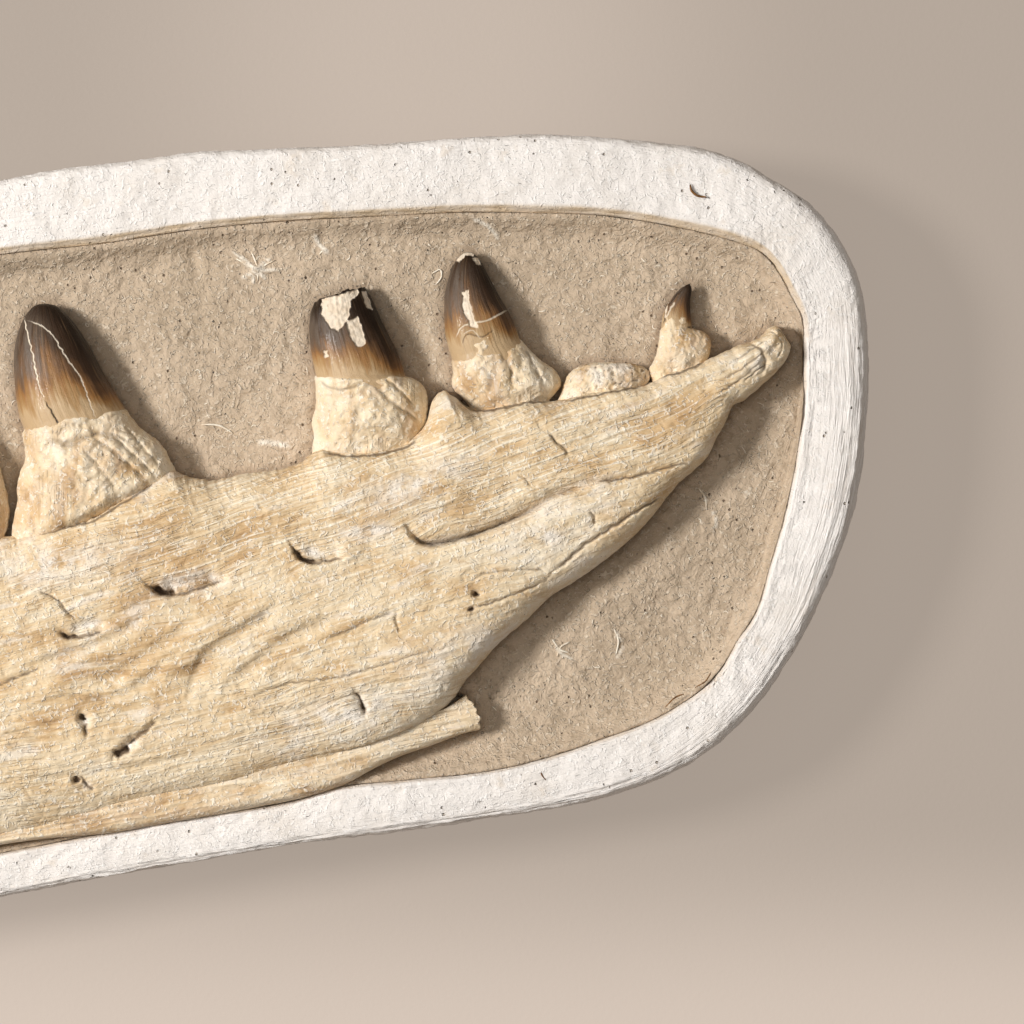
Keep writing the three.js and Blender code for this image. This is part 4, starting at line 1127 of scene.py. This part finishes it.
def make_crown(place, tooth, material, fine):
    x, y, z, height, angle = tooth_rings(tooth, *(CROWN_SEEN if fine else CROWN_BEHIND), -8, np.inf)
    seed = 50 + 10 * int(place)
    tall = height[-1]
    above = np.maximum(0, np.sin(angle))[None, :]
    share = (np.cos(angle)[None, :] + 1) / 2 + 0 * x
    over_neck = neck_line(tooth, height, angle, x, y, seed)
    by = 1 - 0.07 * smooth(-over_neck / 5)
    by = by + 0.008 * noise(share * 26, height[:, None] / 14 + 0 * x, seed + 2)
    by = by + 0.006 * rough(x / 7, y / 7, seed + 3, 2)
    if tooth.get("broken"):
        jag = wavy(x, [(1.3, 5, seed + 4), (0.8, 1.6, seed + 5)])
        y = y + smooth((height[:, None] / tall - 0.75) / 0.25) * jag
    x, y, z = swollen(x, y, z, by)
    crack, chip, dark = np.zeros(x.shape), np.zeros(x.shape), np.zeros(x.shape)
    wobble = 0.5 * noise(x / 1.7, y / 1.7, seed + 6)
    for cracks, mark in ((CROWN_CRACKS, crack), (DARK_CRACKS, dark)):
        for line, left, right, strength in cracks.get(place, []):
            made = stroke(x + wobble, y, line, left, right)
            np.maximum(mark, strength * smooth((made - 0.3) / 0.5) * (above > 0.05), out=mark)
    jagged = 0.55 * rough(x / 2.4, y / 2.4, seed + 7, 3)
    for outline in CROWN_CHIPS.get(place, []):
        outline = np.array(outline, float)
        near = (np.abs(x - outline[:, 0].mean()) < 14) & (np.abs(y - outline[:, 1].mean()) < 14)
        at_x, at_y = x[near], y[near]
        depth_in = distance_to(at_x, at_y, outline) * np.where(inside(at_x, at_y, outline), 1, -1)
        made = smooth((depth_in + jagged[near] + 0.25) / 0.5) * (above > 0.05 + 0 * x)[near]
        chip[near] = np.maximum(chip[near], made)
    z = z - 0.3 * crack - 0.4 * dark - chip * (0.7 + 0.3 * noise(x / 1.5, y / 1.5, seed + 8))
    z = np.maximum(z, MARL_TOP - FACE_SINK)
    up = np.clip(over_neck / tall, -0.2, 1.1)
    middle = np.sin(np.pi * share)
    # shade grows towards the tip, a little less down the middle, and more on the right flank: there it is
    # painted shade, on the side away from the key light
    shade = up - 0.12 * middle + 0.3 * smooth((share - 0.5) / 0.5) * smooth(up * 5) + tooth.get("tone", 0)
    # grey enamel with a painted sheen, on the left flank that faces the key light
    grey_and_sheen = np.exp(-(((share - 0.2) / 0.33) ** 2)) * smooth((up - 0.22) / 0.25) * smooth((0.98 - up) / 0.3)
    loft(
        f"tooth_{place}_crown", np.stack([x, y, z], axis=-1), material, "dentary",
        marks={"height": shade, "grey_and_sheen": grey_and_sheen, "crack": crack, "dark": dark, "chip": chip},
        grain=(share * 32, height[:, None] + 0 * x),
    )


def make_root(place, tooth, material, fine):
    x, y, z, height, angle = tooth_rings(tooth, *(ROOT_SEEN if fine else ROOT_BEHIND), -np.inf, 5)
    has_crown = "crown_left" in tooth
    seed = 80 + 10 * int(place)
    by = 1 + 0.028 * rough(x / 10, y / 10, seed, 3) + 0.01 * rough(x / 2.4, y / 2.4, seed + 4, 2)
    if has_crown:
        over_neck = neck_line(tooth, height, angle, x, y, seed - 30)
        by = by + 0.03 - 0.11 * smooth((over_neck + 1) / 3)
    else:
        by = by - 0.16 * smooth((height[:, None] + 5) / 5)
    x, y, z = swollen(x, y, z, by)
    above = np.maximum(0, np.sin(angle))[None, :]
    relief = 1.1 * rough(x / 9, y / 9, seed + 8, 4) + 0.25 * rough(x / 1.8, y / 1.8, seed + 9, 2)
    relief = relief + 0.9 * (0.4 - np.abs(rough(x / 8, y / 8, seed + 11, 2)))
    crack = np.zeros(x.shape)
    for line, left, right, deep in ROOT_FOLDS.get(place, []):
        made = stroke(x + 0.7 * noise(x / 3, y / 3, seed + 12), y, line, left, right)
        relief = relief - deep * made
        crack = np.maximum(crack, 0.45 * smooth((made - 0.6) / 0.4))
    if not has_crown:
        where = smooth((noise(x / 7, y / 7, seed + 14) + 0.3) / 0.3)
        pore = smooth((noise(x / 1.3, y / 1.3, seed + 13) - 0.42) / 0.2) * where
        relief = relief - 0.7 * pore
        crack = np.maximum(crack, 0.5 * pore)
    z = np.maximum(z + relief * above**0.5, MARL_TOP - FACE_SINK)
    ochre = 0.6 * noise(x / 9, y / 9, seed + 10)
    pale = (0.25 if has_crown else 0.7) + 0 * x
    loft(
        f"tooth_{place}_root", np.stack([x, y, z], axis=-1), material, "dentary",
        marks={"crack": crack, "ochre": ochre, "pale": pale, "combed": 0.3 + 0 * x},
        grain=(x * 0.5 + y * 0.9, x),
    )


# The jacket and the marl in it

def rim_samples():
    """Inner edge, outer edge and level share round the block, starting at its hind end."""
    rolled = RIM[RIM_BACK:] + RIM[:RIM_BACK]
    line = smooth_line(rolled, closed=True, steps=24)
    line = np.vstack([line, line[:1]])
    run = lengths_along(line)
    seen = line[:, 0] > SEEN_FROM
    step = np.where(seen, *RIM_STEPS)
    density = np.concatenate([[0], np.cumsum(np.diff(run) / step[:-1])])
    count = int(density[-1])
    at = np.linspace(0, density[-1], count, endpoint=False)
    picked = np.stack([np.interp(at, density, line[:, k]) for k in range(5)], axis=-1)
    return picked[:, 2:4], picked[:, :2], picked[:, 4], np.interp(at, density, run)


# layers of lumps, as those of the bone are given
PLASTER_LUMPS = [(0.9, 46, 30, 61, 3), (0.35, 7, 6, 62, 3), (0.2, 2.2, 2.2, 64, 1)]
TOP_RING = 50  # one of the jacket's rings that lies on its crest


def make_jacket(material):
    inner, outer, level, run = rim_samples()
    shares, heights = [], []

    def ring(share, height):
        shares.append(share + 0 * level)
        heights.append(height + 0 * level)

    ring(UNDERSIDE_SHARE, 0)
    for t in np.linspace(0, 1, 5):
        ring(FOOT_SHARE + (1 - FOOT_SHARE) * math.sin(t * math.pi / 2), RIM_WIDEST * t)
    for turn in np.linspace(math.pi / 2, 0, 64)[1:]:
        out, up = math.sin(turn) ** (2 / RIM_SQUARE), math.cos(turn) ** (2 / RIM_SQUARE)
        ring(level + (1 - level) * out, RIM_WIDEST + (RIM_CREST - RIM_WIDEST) * up)
    for t in np.linspace(0, 1, 20)[1:]:
        ring(level + (LIP_SHARE - level) * t, RIM_CREST - LIP_DROPS[0] * t)
    for t in np.linspace(0, 1, 5)[1:]:
        ring(LIP_SHARE * (1 - t), RIM_CREST - LIP_DROPS[0] - (LIP_DROPS[1] - LIP_DROPS[0]) * t)
    for t in np.linspace(0, 1, 6)[1:]:
        ring(0, RIM_CREST - LIP_DROPS[1] - INNER_WALL * t)
    ring(0, JACKET_FLOOR)
    share, z = np.array(shares), np.array(heights)
    flat = inner[None] + share[..., None] * (outer - inner)[None]
    x, y = flat[..., 0], flat[..., 1]
    # the surface's own directions give the way that it swells
    place = np.stack([x, y, z], axis=-1)
    around = np.roll(place, -1, axis=1) - np.roll(place, 1, axis=1)
    normal = np.cross(np.gradient(place, axis=0), around)
    normal /= np.linalg.norm(normal, axis=-1, keepdims=True) + 1e-9
    if normal[TOP_RING, :, 2].mean() < 0:
        normal = -normal
    away = np.concatenate([[0], np.cumsum(np.linalg.norm(np.diff(place, axis=0), axis=-1).mean(1))])
    s, v = run[None, :] + 0 * x, away[:, None] + 0 * x
    side = smooth((share - (0.2 + 0.9 * level[None])) / 0.2) * (z > 2) * smooth((0.3 * x - y + 30) / 60)
    swelling = layers(s, v, PLASTER_LUMPS) + 0.5 * side * noise(s / 34, v / 1.9, 63)
    seam = smooth(run / 12) * smooth((run[-1] - run) / 12)
    free = smooth(z / 4) * (np.arange(len(place)) < len(place) - 1)[:, None] * seam[None, :]
    free = free * (0.25 + 0.75 * smooth(share / 0.08))
    over_marl = z > MARL_TOP - 1
    toothed = (y > -10) * (x > -760) * smooth((14 - x) / 14) * (y > 0.16 * x) * over_marl
    lip = toothed * smooth((LIP_SHARE * 1.1 - share) / 0.04)
    lip = np.maximum(lip, 0.7 * smooth((0.05 - share) / 0.03) * over_marl)
    lip = lip * (0.55 + 0.45 * noise(s / 9, v / 2, 65))
    fibrous = smooth(0.5 + 2 * noise(s / 1.5, v / 1.5, 66))
    lip = np.maximum(lip, 0.9 * swell(x, y, (-33, -136), (9, 3), 40) * fibrous)
    place = place + (swelling * free)[..., None] * normal
    place[..., 2] -= 1.6 * lip * free
    tan = toothed * smooth((LIP_SHARE * 1.5 - share) / 0.03) * (0.85 + 0.3 * noise(s / 9, v / 2, 67))
    loft(
        "jacket", place, material, "plaster_jacket",
        marks={"side": side, "lip": 0.85 * np.clip(np.maximum(lip, tan), 0, 1)},
        grain=(np.minimum(s, run[-1] - s), v),  # the same on both sides of the ring's first point
    )


MARL_HOLLOWS = [
    ((-226, -42), (26, 16), 10, -3.2),
    ((-100, 24), (60, 24), 0, -0.9),
    ((-70, -128), (40, 26), 30, -1.4),
    ((-466, -72), (30, 18), 10, -2.8),
    ((-330, 10), (80, 20), 10, -0.8),
    ((-600, -60), (70, 30), 10, -1.2),
    ((-239, 31), (3, 7), 20, -1.6),
    ((-151, 16), (2.4, 2.4), 0, -1.6),
    ((-266, -12), (1.6, 1.2), 0, -1.5),
    ((-261, -29), (1.8, 1.6), 0, -1.2),
    ((-56, -92), (34, 11), 42, 3.0),
    ((-3, -24), (9, 14), 40, 3.0),
    # beside the teeth
    ((-264, -14), (11, 26), 22, -3.4),
    ((-149, -4), (8, 18), 12, -2.6),
    ((-100, 8), (7, 18), 22, -2.6),
    ((-28, 4), (5, 11), 10, -1.6),
]
MARL_CHIPS = [
    ([(-224, 36), (-215, 30), (-210, 24)], 0.8, 0.8, 1.0),
    ([(-221, 24), (-215, 28), (-207, 34)], 0.7, 0.7, 0.9),
    ([(-219, 31), (-212, 28.6), (-205, 29)], 0.9, 0.9, 1.0),
    ([(-216, 22), (-214, 28)], 0.7, 0.7, 0.9),
    ([(-191, 43), (-188, 38), (-185, 35)], 1.2, 1.2, 1.0),
    ([(-214, -41), (-208, -41), (-200, -42.6)], 1.4, 1.4, 0.7),
    ([(-94, -122), (-91, -126), (-86, -128)], 0.7, 0.7, 0.8),
    ([(-70, -116), (-67, -122), (-69, -128)], 0.6, 0.6, 0.6),
    ([(-31, -68), (-29, -72), (-30, -76)], 0.7, 0.7, 0.7),
    ([(-128, 49), (-121, 46), (-116, 40)], 0.9, 0.9, 0.8),
    ([(-18, -60), (-15, -62)], 0.6, 0.6, 0.7),
]


def bone_outline():
    """The outline of both bones together."""
    dorsal, ventral = jaw_edges()
    splenial = smooth_line(SPLENIAL_EDGE)
    front = ventral[ventral[:, 0] > SPLENIAL_FRONT[0] - 3]
    return np.vstack([dorsal[::6], splenial[::-1][::6], [SPLENIAL_FRONT], front[::-1][::6]])


MARL_LUMPS = [(0.9, 42, 42, 71, 3), (0.55, 9, 9, 72, 3)]


def marl_face(x, y):
    """Height of the marl's face, away from the bone and the rim."""
    return MARL_TOP + layers(x, y, MARL_LUMPS) + swells(x, y, MARL_HOLLOWS)


CORNER = 16  # length over which the marl's columns of points crowd together at its ends


def make_marl(material):
    line = smooth_line([(row[2], row[3]) for row in RIM], closed=True, steps=12)
    rear, front = line[:, 0].min() + GAP, line[:, 0].max() - GAP
    first, turn = int(np.argmax(line[:, 0])), int(np.argmin(line[:, 0]))
    top, low = line[first:turn + 1], np.vstack([line[turn:], line[:first + 1]])
    swing = CORNER * (1 - np.cos(np.linspace(0, math.pi / 2, 24)))
    columns = np.concatenate([
        front - swing,
        np.arange(front - CORNER - MARL_STEP, SEEN_FROM, -MARL_STEP),
        np.linspace(SEEN_FROM, rear + CORNER, MARL_COLUMNS_BEHIND),
        (rear + swing)[::-1][1:],
    ])
    high_y, low_y = (
        np.interp(columns, edge[np.argsort(edge[:, 0]), 0], edge[np.argsort(edge[:, 0]), 1]) + inset
        for edge, inset in ((top, -GAP), (low, GAP))
    )
    high_y = np.maximum(high_y, low_y + 0.2)
    across = np.linspace(0, 1, MARL_ACROSS)
    x = columns[:, None] + 0 * across[None, :]
    y = low_y[:, None] * (1 - across) + high_y[:, None] * across
    z = marl_face(x, y) + 0.35 * rough(x / 3, y / 3, 73, 2)
    pale = np.zeros(x.shape)
    for chip, left, right, height in MARL_CHIPS:
        made = stroke(x + 0.6 * noise(x / 2, y / 2, 74), y, chip, left, right)
        z += height * made
        pale = np.maximum(pale, 0.75 * smooth((made - 0.35) / 0.5))
    bones = bone_outline()
    gap = distance_to(x, y, bones)
    by_rim = np.minimum(across, 1 - across)[None, :] * (high_y - low_y)[:, None]
    z -= 1.1 * np.exp(-((gap / 4) ** 2)) * smooth(by_rim / 5)
    z += 7 * np.exp(-((by_rim / 6) ** 2)) - 0.4 * np.exp(-((by_rim / 1.2) ** 2))
    z = np.where(inside(x, y, bones) & (gap > 1.2), MARL_TOP - BONE_BED - GAP, z)
    # Painted shade: the marl darkens next to the bone, along the foot of the rim and round the teeth
    dark = 0.5 * np.exp(-((gap / 1.8) ** 2)) * smooth(by_rim / 5) + 0.25 * np.exp(-((by_rim / 0.8) ** 2))
    for tooth in TEETH.values():
        left, right = (tooth[f"root_{side}"] + tooth.get(f"crown_{side}", []) for side in ("left", "right"))
        outline = np.array(left + right[::-1], float)
        near = (x > outline[:, 0].min() - 12) & (x < outline[:, 0].max() + 12)
        near &= y > outline[:, 1].min() - 12
        to_tooth = distance_to(x[near], y[near], outline)
        dark[near] = np.maximum(dark[near], 0.5 * np.exp(-((to_tooth / 3) ** 2)))
    marks = {"pale": pale, "dark": dark}
    loft_face("marl", x, y, z, JACKET_FLOOR + GAP, material, "marl_matrix", marks)


# Loose fibres: burlap and plant hairs on the rim and on the marl

RIM_HAIRS = [
    # points and radius
    ([(-40, 62, 55.4), (-39.4, 59.6, 55.6), (-37, 57.6, 55.5), (-33.4, 57, 55.9)], 0.5),
    ([(-100, -171.5, 54.4), (-99.2, -174, 55), (-97.6, -176, 55)], 0.3),
    ([(-50, -147, 54), (-46, -143, 54.6), (-42.5, -141.6, 54)], 0.3),
    ([(-38, -139, 54.2), (-34, -136.6, 54.8), (-31.6, -133, 54.2)], 0.28),
]
MARL_HAIRS = [
    [(-124, 47.4), (-120, 45.6), (-117.4, 43), (-115.6, 40)],
    [(-142, 22.4), (-139.6, 25.6), (-140, 28.6), (-143.4, 27)],
    [(-222, 33), (-214, 29), (-208.6, 28)],
    [(-216, 36), (-213.6, 30), (-213.4, 24)],
    [(-219.6, 25.6), (-213.4, 29), (-206.4, 32.4)],
    [(-191, 42.4), (-188.6, 38.6), (-185.4, 37)],
    [(-188, 41), (-187, 37), (-188.6, 34.6)],
    [(-236, -33.6), (-229, -34), (-223.6, -37)],
    [(-95, -120), (-92, -124), (-88, -125.4)],
    [(-93, -127), (-91.6, -123), (-88, -121)],
    [(-70, -116), (-68.4, -120.6), (-69.4, -126)],
    [(-36, -59.6), (-33.6, -63), (-33, -68)],
    [(-54, -20), (-51.4, -17.4), (-47.4, -17.6)],
]
SCATTERED_HAIRS = 260
HAIR_SEED = 7
HAIR_FIELD = ((-345, 0), (-170, 50))


def make_tubes(name, tubes, sides, material, node):
    """One piece of many closed tubes, each of them points and a radius."""
    corners, faces = [], []
    for points, radius in tubes:
        way = np.gradient(points, axis=0)
        way /= np.linalg.norm(way, axis=1, keepdims=True)
        out = np.cross(way, (0, 0, 1.0))
        out /= np.linalg.norm(out, axis=1, keepdims=True) + 1e-9
        up = np.cross(out, way)
        angle = 2 * np.pi * np.arange(sides) / sides
        thin = np.sin(np.pi * np.linspace(0.08, 0.92, len(points)))[:, None, None] ** 0.5
        ring = np.cos(angle)[None, :, None] * out[:, None] + np.sin(angle)[None, :, None] * up[:, None]
        start = sum(len(c) for c in corners)
        corners.append((points[:, None] + radius * thin * ring).reshape(-1, 3))
        for i in range(len(points) - 1):
            for k in range(sides):
                after = (k + 1) % sides
                low, high = start + i * sides, start + (i + 1) * sides
                faces.append((low + k, low + after, high + after, high + k))
        faces.append(tuple(start + k for k in reversed(range(sides))))
        faces.append(tuple(start + (len(points) - 1) * sides + k for k in range(sides)))
    mesh = bpy.data.meshes.new(name)
    mesh.from_pydata([tuple(p) for p in placed(np.vstack(corners))], [], faces)
    for polygon in mesh.polygons:
        polygon.use_smooth = True
    add_piece(name, mesh, material, node)


def fibre_material(name, light, dark):
    s = Shade(name, 0.8, specular=0.2)
    return s.finish(s.mix(s.band(s.noise(300, 2), 0.4, 0.6), dark, light), s.bump(s.noise(900, 2), 0.0002))


def make_fibres():
    rng = np.random.default_rng(HAIR_SEED)
    pale = fibre_material("pale_fibre", (0.86, 0.79, 0.67), (0.7, 0.59, 0.45))
    brown = fibre_material("brown_fibre", (0.24, 0.115, 0.035), (0.13, 0.06, 0.02))
    dark = [(smooth_line(points, steps=5), radius) for points, radius in RIM_HAIRS]
    make_tubes("rim_hairs", dark, 6, brown, "plaster_jacket")

    def on_marl(flat, over):
        return np.column_stack([flat, marl_face(flat[:, 0], flat[:, 1]) + over])

    tubes = [(on_marl(smooth_line(points, steps=5), 0.25), 0.42) for points in MARL_HAIRS]
    bone = bone_outline()
    inner = smooth_line([(row[2], row[3]) for row in RIM], closed=True, steps=2)
    while len(tubes) < SCATTERED_HAIRS:
        x, y = rng.uniform(*HAIR_FIELD[0]), rng.uniform(*HAIR_FIELD[1])
        at = np.array([x]), np.array([y])
        if not inside(*at, inner)[0] or inside(*at, bone)[0]:
            continue
        if distance_to(*at, bone)[0] < 5 or distance_to(*at, inner)[0] < 4:
            continue
        turn, bend = rng.uniform(0, 2 * np.pi), rng.normal(0, 0.9)
        t = np.linspace(-1, 1, 7)
        length = rng.uniform(0.5, 1.7)
        heading = turn + bend * t
        flat = np.column_stack([x + length * t * np.cos(heading), y + length * t * np.sin(heading)])
        tubes.append((on_marl(flat, 0.12), rng.uniform(0.13, 0.26)))
    make_tubes("marl_hairs", tubes, 5, pale, "marl_matrix")


# Floor, lights and camera

PHOTO_MIDDLE = (-111.2, -68.8)  # what the middle of the photo shows, in the drawing plane
TRUE_HEIGHT = 54  # height at which a photo's width of the scene is TRUE_WIDTH
TRUE_WIDTH = 409.6
FLOOR_SIZE = 9
FLOOR_GLOW = 4.0  # softens the shadow that the block casts on the floor
FLOOR_DARK = (0.0915, 0.0773, 0.0655)
FLOOR_MIDDLE = (0.1108, 0.0936, 0.0797)
FLOOR_LIGHT = (0.131, 0.1105, 0.0945)
FLOOR_LIGHT_POOL = (0.25, 0.17, 0)  # the middle of a pool of light painted on the floor, in metres
SHADE_BAND = (0.17, 0.02)  # distances from it over which the painted light fades and the floor gets darker
LIGHT_BAND = (-0.102, -0.198)  # how far below the block's middle the floor gets lighter, as painted light
WORLD_COLOUR = (1, 0.93, 0.85)
WORLD_STRENGTH = 0.17
# name, place, size in metres, power in watts and colour
LIGHTS = [
    ("key", (-2290, 240, 2110), 0.7, 107, (1, 0.985, 0.965)),
    ("top", (-100, 300, 2500), 2.0, 12, (1, 0.99, 0.98)),
]
LIT_POINT = (-150, -60, 50)
LENS = 150
SENSOR = 36


def add_light(name, place, size, power, colour):
    """A round light at a place in the drawing plane's directions, aimed at the specimen."""
    light = bpy.data.lights.new(name, "AREA")
    light.shape = "DISK"
    light.size = size
    light.energy = power
    light.color = colour
    thing = bpy.data.objects.new(name, light)
    thing.visible_camera = False
    bpy.context.scene.collection.objects.link(thing)
    at = np.array(placed_point(*place))
    way = np.array(placed_point(*LIT_POINT)) - at
    thing.location = at
    thing.rotation_euler = (
        math.acos(-way[2] / np.linalg.norm(way)), 0, math.atan2(way[1], way[0]) - math.pi / 2,
    )


def make_stage():
    s = Shade("floor", 0.9, specular=0.1)
    x, y, _ = s.node("ShaderNodeSeparateXYZ", {0: s.place}).outputs
    low = s.plus(s.times(x, math.sin(BLOCK_TILT)), y, math.cos(BLOCK_TILT))
    # Painted light: the floor is lighter round one point and further below the block, as a pool of light,
    # and it glows in that colour
    away = s.node("ShaderNodeVectorMath", {0: s.place, 1: FLOOR_LIGHT_POOL}, operation="DISTANCE")
    colour = s.mix(s.band(away.outputs["Value"], *SHADE_BAND), FLOOR_DARK, FLOOR_MIDDLE)
    colour = s.tint(colour, s.band(low, *LIGHT_BAND), FLOOR_LIGHT)
    s.shader.inputs["Emission Strength"].default_value = FLOOR_GLOW
    s.feed(s.shader.inputs["Emission Color"], colour)
    material = s.finish(colour, s.bump(s.noise(400, 3), 0.0002))
    bpy.ops.mesh.primitive_plane_add(size=FLOOR_SIZE, location=(0, 0, 0))
    floor = bpy.context.object
    floor.name = "studio_floor"
    floor.data.materials.append(material)
    world = bpy.data.worlds.new("studio")
    bpy.context.scene.world = world
    world.use_nodes = True
    sky = world.node_tree.nodes["Background"]
    sky.inputs["Color"].default_value = (*WORLD_COLOUR, 1)
    sky.inputs["Strength"].default_value = WORLD_STRENGTH
    for light in LIGHTS:
        add_light(*light)


def make_camera():
    camera = bpy.data.cameras.new("camera")
    camera.lens = LENS
    camera.sensor_width = SENSOR
    camera.clip_start = 0.05
    thing = bpy.data.objects.new("camera", camera)
    distance = TRUE_WIDTH * LENS / SENSOR
    thing.location = placed_point(*PHOTO_MIDDLE, TRUE_HEIGHT + distance)
    thing.rotation_euler = (0, 0, -BLOCK_TILT)
    bpy.context.scene.collection.objects.link(thing)
    bpy.context.scene.camera = thing


bpy.context.scene.view_settings.view_transform = "Standard"
make_camera()
make_stage()
bone = bone_material("bone", fibres=1, pale=-0.1)
root_bone = bone_material("root_bone", fibres=0.15, pale=-0.11)
enamel = enamel_material()
make_jacket(plaster_material())
make_marl(marl_material())
make_jaw(bone)
make_splenial(bone)
make_fibres()
hind = {place: hind_tooth(*tooth) for place, tooth in HIND_TEETH.items()}
for place, tooth in {**TEETH, **hind}.items():
    make_root(place, tooth, root_bone, place in TEETH)
    if "crown_left" in tooth:
        make_crown(place, tooth, enamel, place in TEETH)
